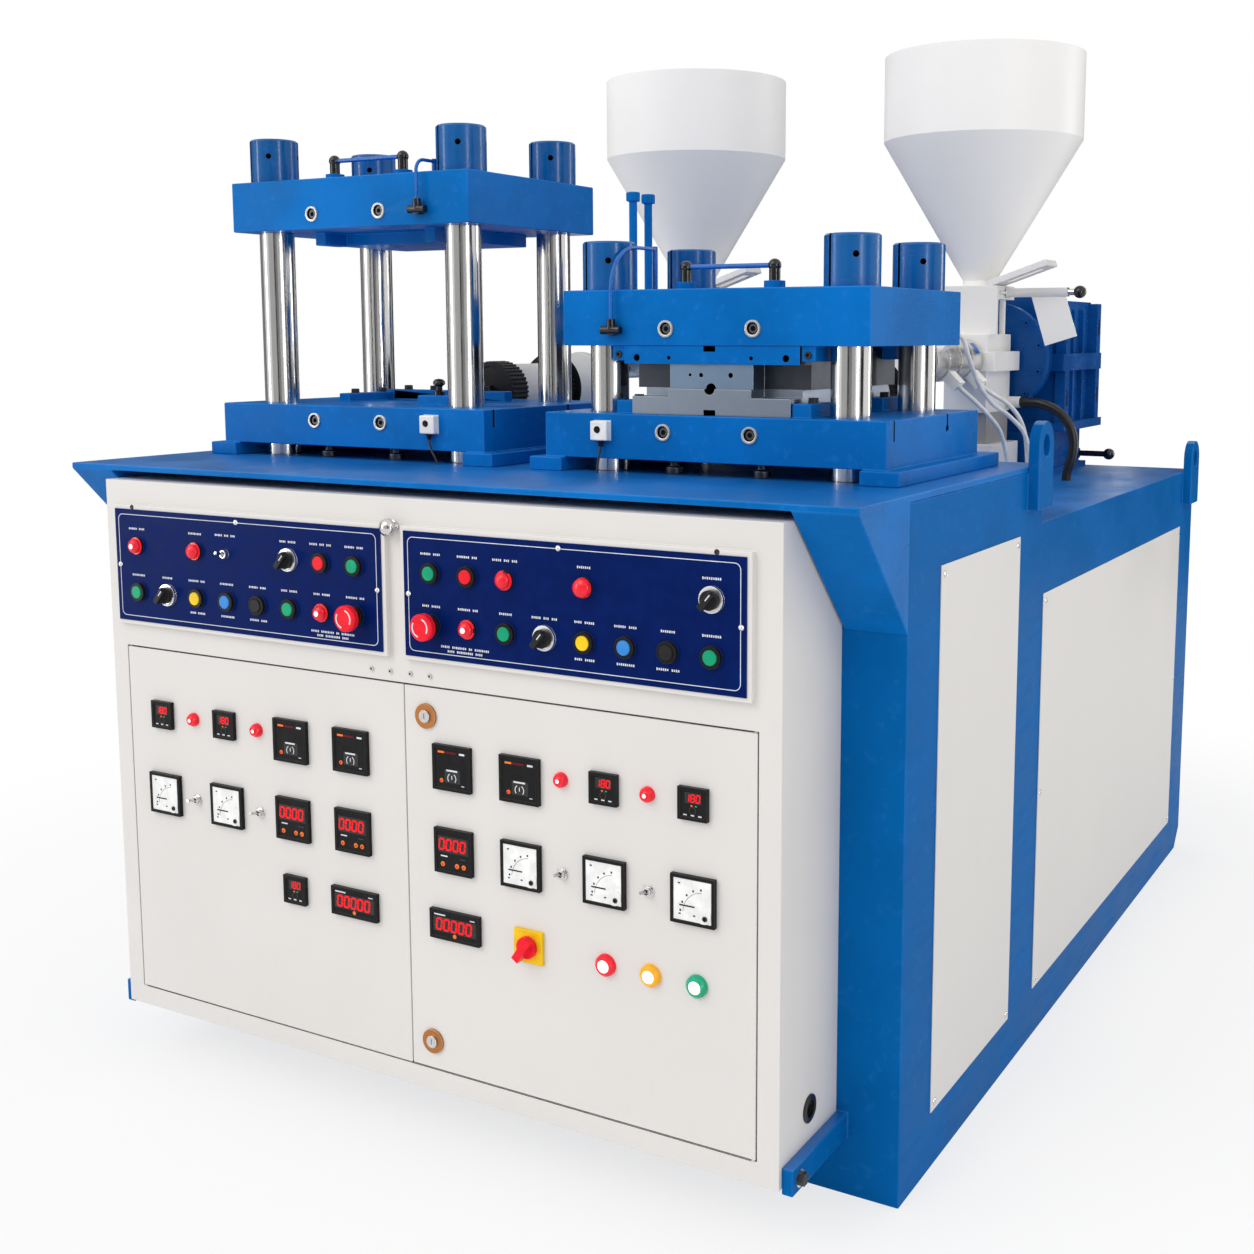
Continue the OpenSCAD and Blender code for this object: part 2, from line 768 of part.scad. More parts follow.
module cabinet_shell() {
    inner = cabinet_w - 2 * sheet_t;
    color(white) union() {
        difference() {
            union() {
                block(0, 0, cabinet_foot, [cabinet_w, cabinet_depth, cabinet_h]);
                for (x = panel_x)
                    block(x, -tray_t, panel_z - panel_h / 2, [panel_w, tray_t + over, panel_h]);
            }
            block(0, sheet_t, cabinet_foot + sheet_t,
                  [inner, cabinet_depth - 2 * sheet_t, cabinet_h - 2 * sheet_t]);
            block(0, -over, opening_foot, [2 * opening_half, sheet_t + 2 * over, opening_h]);
            for (x = panel_x)
                block(x, -tray_t - over, panel_z - panel_h / 2 + 2 * rim_w,
                      [panel_w - 4 * rim_w, tray_t + sheet_t + 2 * over, panel_h - 4 * rim_w]);
            translate([cabinet_half - sheet_t - over, back(cabinet_depth / 2), cabinet_foot + 80])
                rotate([0, 90, 0]) cylinder(r = cable_hole_r, h = sheet_t + 2 * over);
        }
        for (side = [-1, 1]) {
            hinge_pin(side * hinge_x, opening_foot - hinge_reach);
            hinge_pin(side * hinge_x, door_foot + door_h - hinge_reach);
        }
    }
}

module hinge_pin(x, z) {
    translate([x, back(hinge_set), z]) cylinder(r = hinge_pin_r, h = 2 * hinge_reach + door_gap);
}

// Control panels

module bezel(at, outer, height, hole) {
    facing_front(at) difference() {
        cylinder(r = outer, h = height);
        translate([0, 0, -over]) cylinder(r = hole, h = height + 2 * over);
    }
}

module lamp(at, radius, depth) {
    facing_front(at) union() {
        cylinder(r = radius, h = bezel_h - 2);
        cylinder(r = radius - 3, h = bezel_h + 3);
        translate([0, 0, -depth]) cylinder(r = radius - 4, h = depth + over);
    }
}

module panel_plates() {
    body_depth = 30;
    color("navy") difference() {
        union() {
            for (x = panel_x)
                block(x, plate_front_d, panel_z - panel_h / 2 + rim_w,
                      [panel_w - 2 * rim_w, plate_t, panel_h - 2 * rim_w]);
            for (c = concat(BUTTONS, STOPS))
                facing_front(control_at(c)) cylinder(r = bezel_r, h = bezel_h);
            for (c = SELECTORS)
                facing_front(control_at(c)) cylinder(r = bezel_r + 3, h = bezel_h - 2);
            for (c = LAMPS)
                lamp(lamp_at(c), bezel_r - 1, body_depth);
            facing_front(lamp_at(panel_toggle)) cylinder(r = toggle_bush_r, h = toggle_bush_h);
        }
        for (c = concat(BUTTONS, STOPS, SELECTORS))
            facing_front(control_at(c))
                translate([0, 0, -plate_t - over])
                    cylinder(r = face_hole_r, h = bezel_h + plate_t + 2 * over);
        facing_front(lamp_at(panel_toggle))
            translate([0, 0, -plate_t - over])
                cylinder(r = toggle_bore_r, h = toggle_bush_h + plate_t + 2 * over);
    }
}

// A stem with a retaining flange behind its plate
module stem(top) {
    translate([0, 0, -plate_t - retainer_t]) cylinder(r = retainer_r, h = retainer_t);
    translate([0, 0, -plate_t - retainer_t]) cylinder(r = cap_r, h = plate_t + retainer_t + top);
}

module push_button(c) {
    cap_top = bezel_h + button_travel / 2;
    rim = 1.2;
    color(c[4]) facing_front(control_at(c)) union() {
        stem(cap_top - rim);
        translate([0, 0, cap_top - rim]) cylinder(r1 = cap_r, r2 = cap_r - rim, h = rim);
    }
}

module emergency_stop(c) {
    rim = 3;
    neck_h = 5;
    color("red") facing_front(control_at(c)) union() {
        stem(stop_under + over);
        translate([0, 0, stop_under]) cylinder(r1 = cap_r + 3, r2 = stop_head_r, h = neck_h);
        translate([0, 0, stop_under + neck_h]) cylinder(r = stop_head_r, h = stop_head_h - neck_h - rim);
        translate([0, 0, stop_under + stop_head_h - rim])
            cylinder(r1 = stop_head_r, r2 = stop_head_r - rim, h = rim);
    }
}

module selector(c) {
    disc_h = 7;
    grip_h = 11;
    grip_w = 9;
    seat = bezel_h - 2;
    color("black") facing_front(control_at(c)) union() {
        stem(seat + over);
        translate([0, 0, seat]) cylinder(r = selector_r, h = disc_h);
        rotate([0, 0, -40])
            translate([-grip_w / 2, -selector_r, seat + disc_h - over])
                cube([grip_w, 2 * selector_r, grip_h + over]);
    }
}

// A toggle lever that turns on a ball in its bush, leaning upwards at rest
module toggle_lever(at) {
    tip_r = 3;
    tip_h = 5;
    color(steel) facing_front(at) translate([0, 0, toggle_pivot]) rotate([-toggle_lean, 0, 0]) union() {
        sphere(r = toggle_ball_r);
        rotate([0, 90, 0]) cylinder(r = toggle_pin_r, h = toggle_pin_len, center = true);
        cylinder(r = toggle_rod_r, h = toggle_len);
        translate([0, 0, toggle_len - tip_h]) cylinder(r1 = toggle_rod_r, r2 = tip_r, h = tip_h);
        translate([0, 0, toggle_len]) cylinder(r1 = tip_r, r2 = toggle_rod_r, h = 2);
    }
}

// Doors

module door(i) {
    x = door_side(i) * door_x;
    color(white) difference() {
        union() {
            difference() {
                block(x, 0, door_foot, [door_w, door_depth, door_h]);
                block(x, sheet_t, door_foot + sheet_t,
                      [door_w - 2 * sheet_t, door_depth, door_h - 2 * sheet_t]);
            }
            for (z = [door_foot, door_foot + door_h - hinge_block - hinge_reach / 2])
                block(x + door_side(i) * (door_w - hinge_block) / 2, 0, z,
                      [hinge_block, hinge_block, hinge_block + hinge_reach / 2]);
        }
        for (z = [door_foot - over, door_foot + door_h - hinge_reach - loose])
            translate([door_side(i) * hinge_x, back(hinge_set), z])
                cylinder(r = hinge_pin_r + run_fit, h = hinge_reach + loose + over);
        for (m = INSTRUMENTS[i])
            block(x + m[2], -over, m[3] - m[1] / 2 + 2, [m[0] - 4, door_depth, m[1] - 4]);
        for (l = DOOR_LAMPS[i])
            facing_front(on_door(i, l[1], l[2])) translate([0, 0, -door_depth])
                cylinder(r = l[0] - 3, h = 2 * door_depth);
        for (t = TOGGLES)
            if (t[1] == i)
                facing_front(on_door(i, t[2], toggle_z))
                    translate([0, 0, -door_depth]) cylinder(r = toggle_bush_r, h = 2 * door_depth);
        if (i == 1) {
            facing_front(on_door(i, main_switch_at[0], main_switch_at[1]))
                translate([0, 0, -door_depth]) cylinder(r = switch_shaft_r + 4, h = 2 * door_depth);
            for (l = LOCKS)
                facing_front(on_door(i, lock_x, l[1]))
                    translate([0, 0, -door_depth]) cylinder(r = lock_r + 3, h = 2 * door_depth);
        }
    }
}

module toggle_bush(at) {
    facing_front(at) difference() {
        union() {
            cylinder(r = toggle_bush_r + 3, h = 2);
            translate([0, 0, -sheet_t]) cylinder(r = toggle_bush_r - 0.2, h = sheet_t + toggle_bush_h);
        }
        translate([0, 0, -sheet_t - over])
            cylinder(r = toggle_bore_r, h = sheet_t + toggle_bush_h + 2 * over);
    }
}

module door_instruments(i) {
    face_t = 2;
    face_rim = 5;
    color(dark) union() {
        for (m = INSTRUMENTS[i])
            difference() {
                union() {
                    block(door_side(i) * door_x + m[2], -instrument_proud, m[3] - m[1] / 2,
                          [m[0], instrument_proud, m[1]]);
                    block(door_side(i) * door_x + m[2], -over, m[3] - m[1] / 2 + 3,
                          [m[0] - 6, instrument_depth, m[1] - 6]);
                }
                block(door_side(i) * door_x + m[2], -instrument_proud - over, m[3] - m[1] / 2 + face_rim,
                      [m[0] - 2 * face_rim, face_t + over, m[1] - 2 * face_rim]);
            }
        for (l = DOOR_LAMPS[i])
            lamp(on_door(i, l[1], l[2]), l[0], 30);
        for (t = TOGGLES)
            if (t[1] == i)
                toggle_bush(on_door(i, t[2], toggle_z));
        if (i == 1) {
            difference() {
                block(door_x + main_switch_at[0], -switch_plate_t, main_switch_at[1] - switch_plate_w / 2,
                      [switch_plate_w, switch_plate_t, switch_plate_w]);
                facing_front(on_door(i, main_switch_at[0], main_switch_at[1]))
                    translate([0, 0, -over]) cylinder(r = switch_shaft_r + run_fit,
                          h = switch_plate_t + 2 * over);
            }
            for (l = LOCKS)
                bezel(on_door(i, lock_x, l[1]), 2 * lock_r, lock_ring_h, lock_r + run_fit);
        }
    }
}

module main_switch() {
    disc_r = 17;
    disc_h = 7;
    grip = [13, 42, 14];
    tail = 12;
    color("red") facing_front(on_door(1, main_switch_at[0], main_switch_at[1])) union() {
        translate([0, 0, -tail]) cylinder(r = switch_shaft_r, h = tail + switch_plate_t + over);
        translate([0, 0, switch_plate_t]) cylinder(r = disc_r, h = disc_h);
        rotate([0, 0, -35])
            translate([-grip[0] / 2, -grip[1] / 2, switch_plate_t + disc_h - over]) cube(grip);
    }
}

module door_lock(l) {
    proud = 3;
    tail = 20;
    cam = [10, 36, 3];
    color(steel) facing_front(on_door(1, lock_x, l[1])) difference() {
        union() {
            translate([0, 0, -tail]) cylinder(r = lock_r, h = tail + lock_ring_h + proud);
            translate([-cam[0] / 2, -lock_r, -tail]) cube(cam);
        }
        translate([-1, -5, lock_ring_h]) cube([2, 10, 2 * proud]);
    }
}

// Presses

module pillar_bores(s, z, h, radius) {
    at_pillars(s)
        translate([0, 0, z - over]) cylinder(r = radius, h = h + 2 * over);
}

module port_holes(s, front_d, z) {
    for (i = [-1, 1])
        facing_front([station_x(s) + i * port_half, front_d, z])
            translate([0, 0, -port_depth]) cylinder(r = port_r, h = port_depth + over);
}

module port_rings(s, front_d, z) {
    for (i = [-1, 1])
        bezel([station_x(s) + i * port_half, front_d, z], ring_r, ring_t, port_r);
}

module lower_platens() {
    front_d = press_d - lower_depth / 2;
    color(blue)
        for (s = [-1, 1]) {
            difference() {
                union() {
                    block(station_x(s), front_d, lower_foot, [lower_w, lower_depth, lower_t]);
                    for (i = [-1, 1])
                        block(station_x(s) + i * (lower_w / 2 - 7), front_d - rail_front, bed_h,
                              [rail_w, lower_depth + 2 * rail_front + rail_tail, rail_h]);
                    port_rings(s, front_d, lower_port_z);
                    block(sensor_place(s), front_d - sensor_t, lower_port_z - sensor_w / 2,
                          [sensor_w, sensor_t, sensor_w]);
                    platen_clamps(s);
                    for (i = [-1, 1])
                        foot_bolt(station_x(s) + i * foot_bolt_x, front_d + foot_bolt_set);
                }
                pillar_bores(s, lower_foot, lower_t, pillar_r + run_fit);
                port_holes(s, front_d, lower_port_z);
                side_slots(s, front_d);
            }
        }
}

// Two slots in a lower platen's right side, the rear one with a round end
module side_slots(s, front_d) {
    x = station_x(s) + lower_w / 2;
    for (c = SIDE_SLOTS)
        block(x, front_d + c[0], lower_top - c[2], [2 * side_slot_in, c[1], c[2] + over]);
    last = SIDE_SLOTS[1];
    translate([x - side_slot_in, back(front_d + last[0]) + last[1] / 2, lower_top - last[2]])
        rotate([0, 90, 0]) cylinder(r = keyhole_r, h = 2 * side_slot_in);
}

// A bolt that stands on the bed under a platen's front
module foot_bolt(x, d) {
    translate([x, back(d), bed_h]) {
        cylinder(r = foot_bolt[0], h = foot_bolt[1]);
        cylinder(r = foot_bolt[2], h = rail_h + over);
    }
}

// Clamp bars on a lower platen: corner stops round the mould, or bare rails on the open press
module platen_clamps(s) {
    rear_bar = [300, 26, 20];
    rear_bar_set = 70;
    side_bar = [26, 130, 16];
    front_block = [70, 40, 18];
    front_block_at = [120, 110];
    stop = [32, 90, 22];
    stop_in = stop[1] / 2 + 4;
    if (s < 0) {
        block(station_x(s), press_d + rear_bar_set, lower_top, rear_bar);
        block(station_x(s) + front_block_at[0], press_d - front_block_at[1], lower_top, front_block);
        block(station_x(s) - (rear_bar[0] - side_bar[0]) / 2 + over, press_d + rear_bar_set - side_bar[1],
              lower_top, side_bar);
    } else {
        for (i = [-1, 1], j = [-1, 1])
            block(station_x(s) + i * (lower_mould_w + stop[0]) / 2,
                  press_d + j * (mould_depth / 2 - stop_in) - stop[1] / 2,
                  lower_top, stop);
    }
}

module upper_platen(s) {
    front_d = press_d - upper_depth / 2;
    foot = upper_foot(s);
    color(blue) difference() {
        union() {
            block(station_x(s), front_d, foot, [upper_w, upper_depth, upper_t]);
            port_rings(s, front_d, foot + upper_port_rise);
            upper_clamps(s);
        }
        pillar_bores(s, foot, upper_t, pillar_r + run_fit);
        port_holes(s, front_d, foot + upper_port_rise);
    }
}

// Under the open platen a bare mould plate with end stops, under the closed one only corner stops
module upper_clamps(s) {
    foot = upper_foot(s);
    plate = [300, 210, 22];
    plate_set = 60;
    stop = [24, 60, 24];
    stop_in = stop[1] / 2 + 4;
    end_stop_at = [130, 120];
    limit_rods = [-13, 38];
    if (s < 0) {
        block(station_x(s), press_d - plate_set, foot - plate[2], plate);
        for (i = [-1, 1])
            block(station_x(s) + i * end_stop_at[0], press_d - end_stop_at[1], foot - stop[2], stop);
    } else {
        for (i = [-1, 1], j = [-1, 1])
            block(station_x(s) + i * (mould_w + stop[0]) / 2,
                  press_d + j * (mould_depth / 2 - stop_in) - stop[1] / 2,
                  foot - stop[2], stop);
        for (d = limit_rods)
            limit_rod(s, press_d + d);
    }
}

// A long cap-headed rod that stands on the closed press
module limit_rod(s, d) {
    rod_h = 174;
    head_r = 12;
    head_h = 16;
    translate([station_x(s) + limit_rod_x, back(d), upper_top(s) - over]) {
        cylinder(r = rod_r, h = rod_h);
        translate([0, 0, rod_h - head_h]) cylinder(r = head_r, h = head_h);
    }
}

module pillars(s) {
    top = upper_top(s) + pillar_grip;
    head = crosshead_top(s);
    foot = head - crosshead_t - pillar_tail;
    ram_top = head + bed_under - open_crosshead_top - head_t - loose - over;
    color(steel) {
        at_pillars(s)
            translate([0, 0, foot]) cylinder(r = pillar_r, h = top - foot);
        difference() {
            block(station_x(s), press_d - upper_depth / 2, head - crosshead_t,
                  [upper_w, upper_depth, crosshead_t]);
            pillar_bores(s, head - crosshead_t, crosshead_t, pillar_r + run_fit);
        }
        at_pillars(s)
            translate([0, 0, head - crosshead_t - lock_collar_h]) difference() {
                cylinder(r = nut_r, h = lock_collar_h);
                translate([0, 0, -over]) cylinder(r = pillar_r + run_fit, h = lock_collar_h + 2 * over);
            }
        translate([station_x(s), back(press_d), head])
            cylinder(r = ram_r, h = ram_top - head - piston_t + over);
        translate([station_x(s), back(press_d), ram_top - piston_t])
            cylinder(r = piston_r - run_fit, h = piston_t);
    }
}

// Split nuts with pin holes that close the tops of the pillars
module pillar_nuts(s) {
    rim = 3;
    slot_depth = nut_r - pillar_r + over;
    color(blue) at_pillars(s) translate([0, 0, upper_top(s)]) difference() {
        union() {
            cylinder(r = nut_r, h = nut_h - rim);
            translate([0, 0, nut_h - rim]) cylinder(r1 = nut_r, r2 = nut_r - rim, h = rim);
        }
        translate([0, 0, -over]) cylinder(r = pillar_r + run_fit, h = pillar_grip + loose + over);
        rotate([0, 0, -118])
            translate([pillar_r - over, -slot_w / 2, -over])
                cube([slot_depth + over, slot_w, nut_h + 2 * over]);
        for (a = [-60, 30])
            rotate([0, 0, a])
                translate([pillar_r + run_fit + 2, 0, nut_h * 0.6]) rotate([0, 90, 0])
                    cylinder(r = pin_hole_r, h = nut_r);
    }
}

// Push-in elbows joined by a line on top of a platen, and a tee with a thin tube on its front
module platen_fittings(s) {
    top = upper_top(s);
    front_d = press_d - upper_depth / 2;
    boss_r = 17;
    boss_h = 12;
    body_r = 9;
    tee_z = upper_foot(s) + tee_rise;
    color("black") {
        for (x = elbow_x)
            translate([station_x(s) + x, back(press_d) - elbow_set, top]) {
                cylinder(r = boss_r, h = boss_h);
                cylinder(r = body_r, h = elbow_rise);
                translate([0, 0, elbow_rise]) sphere(r = body_r + 1.5);
            }
        translate([station_x(s) + elbow_x[0], back(press_d) - elbow_set, top + elbow_rise])
            rotate([0, 90, 0]) cylinder(r = line_r, h = elbow_x[1] - elbow_x[0]);
        facing_front([station_x(s) - s * tee_x, front_d, tee_z]) {
            cylinder(r = body_r, h = tee_out + 4);
            translate([-tee_arm, 0, tee_out]) rotate([0, 90, 0]) cylinder(r = body_r - 2, h = 2 * tee_arm);
            translate([0, 0, tee_out]) rotate([-90, 0, 0]) cylinder(r = body_r - 2, h = tee_arm);
        }
        air_tube(s, front_d, tee_z);
    }
}

// The thin tube of the tee: up the platen's front, round a bend and on towards the back
module air_tube(s, front_d, tee_z) {
    path = s < 0 ? LEFT_AIR : RIGHT_AIR;
    bend = path[0];
    translate([station_x(s) - s * tee_x, back(front_d) - tee_out, tee_z + tee_arm - over])
        rotate([0, 0, path[1]]) {
        cylinder(r = tube_r, h = path[3] + over);
        translate([0, bend, path[3] + over]) rotate([0, -90, 0]) rotate([0, 0, -90])
            rotate_extrude(angle = 90) translate([bend, 0]) circle(r = tube_r);
        translate([0, bend, path[3] + over + bend]) rotate([-90, 0, 0]) cylinder(r = tube_r, h = path[2]);
        translate([0, bend + path[2], path[3] + over]) cylinder(r = air_post_r, h = bend + air_post_r);
    }
}

// Mould of the closed press

mould_slot = [21, mould_depth + 2 * over, 10];
mould_hole_depth = 14;
// Screw holes in the upper half's front: place across the mould, radius
PLATE_HOLES = [[-134, 5.5], [-74, 3], [74, 3], [134, 5.5]];
CORE_HOLES = [[-38, 2.5], [-18, 3.5], [35, 4]];
plate_hole_rise = 10;
core_hole_rise = 22;
core_set = 6;

// A row of blind holes in the mould's front
module mould_holes(row, d, z) {
    for (h = row)
        facing_front([station_x(1) + h[0], d, z])
            translate([0, 0, -mould_hole_depth]) cylinder(r = h[1], h = mould_hole_depth + over, $fn = 32);
}

module lower_mould() {
    front_d = press_d - mould_depth / 2;
    step_w = (lower_mould_w - core_w) / 2;
    color(steel) difference() {
        block(station_x(1), front_d, lower_top, [lower_mould_w - 2 * loose, mould_depth, lower_half_h]);
        for (i = [-1, 1])
            block(station_x(1) + i * (core_w + step_w) / 2, front_d - over,
                  lower_top + lower_half_h - side_step,
                  [step_w + over, pocket_depth + over, side_step + over]);
        block(station_x(1), front_d - over, lower_top - over, mould_slot);
        facing_front([station_x(1), front_d, lower_top + lower_half_h])
            translate([0, 0, -mould_depth - over]) cylinder(r = sprue_r, h = mould_depth + 2 * over);
    }
}

module upper_mould() {
    front_d = press_d - mould_depth / 2;
    part_z = lower_top + lower_half_h;
    color(steel) difference() {
        union() {
            block(station_x(1), front_d, closed_foot - top_plate_t,
                  [mould_w - 2 * loose, mould_depth, top_plate_t]);
            block(station_x(1), front_d + core_set, part_z,
                  [core_w, mould_depth - 2 * core_set, closed_foot - part_z]);
            block(station_x(1), front_d + pocket_depth, part_z,
                  [mould_w - 2 * loose, mould_depth - pocket_depth, closed_foot - part_z]);
        }
        block(station_x(1), front_d - over, closed_foot - mould_slot[2] + over, mould_slot);
        mould_holes(PLATE_HOLES, front_d, closed_foot - top_plate_t + plate_hole_rise);
        mould_holes(CORE_HOLES, front_d + core_set, part_z + core_hole_rise);
        facing_front([station_x(1), front_d, part_z])
            translate([0, 0, -mould_depth - over]) cylinder(r = sprue_r, h = mould_depth + 2 * over);
    }
}

// Extruders

function tooth_point(i, depth) =
    let (a = 90 * i / collar_teeth, r = (i % 4 < 2) ? collar_r : collar_r - depth) [r * cos(a), r * sin(a)];

// A shape drawn upwards that points to the back, from depth d on a shot unit's axis
module along_shot(s, d) {
    translate([station_x(s), back(d), shot_z]) rotate([-90, 0, 0]) children();
}

module toothed_collar(length) {
    tooth_depth = 3;
    linear_extrude(length) polygon([for (i = [0 : 4 * collar_teeth - 1]) tooth_point(i, tooth_depth)]);
}

// The shot unit between a press and its barrel
module shot_unit(s) {
    difference() {
        along_shot(s, shot_d) toothed_collar(collar_len);
        along_shot(s, shot_d - over) cylinder(r = cap_r_in, h = cap_set + over);
    }
    along_shot(s, shot_d - nozzle_len)
        cylinder(r1 = nozzle_r - 4, r2 = nozzle_r, h = nozzle_len + cap_set + over);
    along_shot(s, shot_d + collar_len - over)
        cylinder(r = shot_r, h = rear_collar_d - shot_d - collar_len + 2 * over);
    along_shot(s, rear_collar_d) toothed_collar(rear_collar_len);
    along_shot(s, jacket_d) cylinder(r = jacket_r, h = jacket_len);
    for (d = [jacket_d, jacket_d + jacket_len - jacket_rim[1]])
        along_shot(s, d) cylinder(r = jacket_rim[0], h = jacket_rim[1]);
    along_shot(s, jacket_d + jacket_len - over)
        cylinder(r = pipe_run_r, h = riser_d - jacket_d - jacket_len + 2 * over);
    block(station_x(s), riser_d, riser_foot, [riser[0], riser[1], riser_top - riser_foot]);
}

// A shot unit's melt channel, from its nozzle to the riser and up to the barrel
module melt_channel(s) {
    mid = riser_d + riser[1] / 2;
    along_shot(s, shot_d - nozzle_len - over) cylinder(r = melt_r / 2, h = 3 * nozzle_len);
    along_shot(s, shot_d + nozzle_len) cylinder(r = melt_r, h = mid - shot_d - nozzle_len + melt_r);
    translate([station_x(s), back(mid), min(shot_z, screw_z)])
        cylinder(r = melt_r, h = abs(screw_z - shot_z));
    along_screw(s, mid - melt_r) cylinder(r = melt_r, h = barrel_d - mid + 2 * melt_r);
}

// Clamped heater bands on a jacket
module heater_bands(s) {
    along_screw(s, band_d) cylinder(r = band_r - jacket_step, h = bands * band_pitch - band_gap);
    for (i = [0 : bands - 1])
        along_screw(s, band_d + i * band_pitch) cylinder(r = band_r, h = band_w);
    for (r = LEAD_ROUTES)
        translate([station_x(s), r[0][1], screw_z]) rotate([0, -atan2(lead_way(r)[2], lead_way(r)[0]), 0])
            translate([norm(lead_way(r)) - plug[0], -plug[1] / 2, -plug[2] / 2]) cube(plug);
}

module barrels() {
    color(steel)
        for (s = [-1, 1])
            difference() {
                union() {
                    shot_unit(s);
                    along_screw(s, barrel_d) cylinder(r = barrel_r, h = barrel_len);
                    heater_bands(s);
                }
                melt_channel(s);
                along_screw(s, barrel_d + barrel_front_t) cylinder(r = bore_r, h = barrel_len);
                translate([station_x(s), back(hopper_d), screw_z])
                    cylinder(r = throat_r * 0.6, h = barrel_r + over);
            }
}

module feed_throats() {
    bore = barrel_r + run_fit;
    front_d = hopper_d - gate_w / 2;
    color(white)
        for (s = [-1, 1]) {
            difference() {
                union() {
                    block(station_x(s), feed_d, feed_foot, [feed_w, feed_depth, feed_top - feed_foot]);
                    block(station_x(s), hopper_d - feed_flange[1] / 2, screw_z - feed_flange_drop,
                          feed_flange);
                    block(station_x(s), front_d, feed_top - over,
                          [gate_w, column_plate_t, column_h + 2 * over]);
                    translate([station_x(s), back(hopper_d), feed_top - over])
                        cylinder(r = pipe_r, h = column_h + 2 * over);
                    for (i = [-1, 1])
                        translate([station_x(s) + i * rod_at[0], back(hopper_d) + rod_at[1],
                              feed_top - over])
                            cylinder(r = rod_r, h = column_h + 2 * over);
                    gate_housing(s);
                    translate([station_x(s) + feed_w / 2 - over, back(hopper_d) + hose_at[0],
                               deck_h + hose_at[1]]) rotate([0, 90, 0])
                        cylinder(r = hose_union[0], h = hose_union[1] + over);
                }
                along_screw(s, feed_d - feed_depth / 2) cylinder(r = bore, h = 2 * feed_depth);
                translate([station_x(s), back(hopper_d), screw_z])
                    cylinder(r = throat_r, h = gate_top - screw_z + over);
            }
            drain_chute(s);
        }
}

// Two plates held apart by side strips, with the blade's slot open to the right
module gate_housing(s) {
    block(station_x(s), hopper_d - gate_w / 2, gate_z, [gate_w, gate_w, gate_plate_t]);
    block(station_x(s), hopper_d - gate_w / 2, blade_z + gate_slot, [gate_w, gate_w, gate_plate_t]);
    strip = (gate_w - blade_w) / 2 - loose;
    for (j = [-1, 1])
        block(station_x(s), hopper_d + j * (gate_w - strip) / 2 - strip / 2, blade_z - over,
              [gate_w, strip, gate_slot + 2 * over]);
}

// A slanted channel on the gate's top plate
module drain_chute(s) {
    chute = [138, 84, 14];
    wall = 3;
    slope = 19;
    slot = [80, 30];
    chute_x = 44;
    translate([station_x(s) + chute_x, back(hopper_d) - gate_w / 2, gate_top - wall]) rotate([0, -slope, 0])
        difference() {
        cube(chute);
        translate([wall, wall, wall]) cube([chute[0] - 2 * wall, chute[1] - 2 * wall, chute[2]]);
        translate([chute[0] / 4, (chute[1] - slot[1]) / 2, -over]) cube([slot[0], slot[1], 2 * wall]);
    }
}

module hopper_gate(s) {
    tag = [[58, 0], [136, 0], [164, -88], [92, -110]];
    x = station_x(s);
    blade_x = throat_r - gate_travel;
    color(white) union() {
        translate([x + blade_x, back(hopper_d) - blade_w / 2, blade_z])
            cube([bar_x - blade_x, blade_w, blade_t]);
        translate([x + bar_x - over, back(hopper_d) - bar_w / 2, blade_z - (bar_w - blade_t) / 2])
            cube([bar_len + over, bar_w, bar_w]);
        translate([x + bar_x + bar_len - over, back(hopper_d), blade_z + blade_t / 2]) rotate([0, 90, 0])
            cylinder(r = rod_r, h = knob_stem + over);
        translate([x + bar_x + bar_len + knob_stem, back(hopper_d), blade_z + blade_t / 2])
            sphere(r = knob_r);
        translate([x + bar_x, back(hopper_d) - bar_w / 2 + 3, blade_z - (bar_w - blade_t) / 2 + over])
            rotate([90, 0, 0]) linear_extrude(2) polygon(tag);
    }
}

module hopper(s) {
    rise = gate_top + neck_h + cone_h;
    top = rise + drum_h;
    inner = neck_r - hopper_t;
    color(white) translate([station_x(s), back(hopper_d), 0]) rotate_extrude($fn = 96) polygon([
        [inner, gate_top],
        [neck_r, gate_top],
        [neck_r, gate_top + neck_h],
        [hopper_r, rise],
        [hopper_r, top],
        [hopper_r - hopper_t, top],
        [hopper_r - hopper_t, rise],
        [inner, gate_top + neck_h],
    ]);
}

module screw(s) {
    flight_d = barrel_d + barrel_front_t + 4;
    flight_len = gear_d - flight_d - 4;
    color(steel) {
        along_screw(s, flight_d)
            linear_extrude(flight_len, twist = -360 * flight_turns, slices = 8 * flight_turns, $fn = 12)
                flight_section();
        along_screw(s, flight_d + flight_len) cylinder(r = shank_r, h = shank_len);
    }
}

// Section of the screw: a round core with one flight
module flight_section() {
    flight_w = 7;
    circle(r = core_r, $fn = 12);
    translate([0, -flight_w / 2]) square([bore_r - loose, flight_w]);
}

// Gearboxes

module gearboxes() {
    color(blue)
        for (s = [-1, 1])
            difference() {
                union() {
                    along_screw(s, gear_d) cylinder(r = flange_r, h = flange_t);
                    along_screw(s, gear_d + flange_t - over)
                        cylinder(r1 = flange_r * 0.72, r2 = flange_r * 0.9, h = bell_len + 2 * over);
                    along_screw(s, gear_d + flange_t + bell_len / 2) cylinder(r = flange_r * 0.93, h = 14);
                    gear_housing(s);
                    pedestal(s);
                }
                along_screw(s, gear_d - over) cylinder(r = shank_bore_r, h = shank_len + over);
            }
}

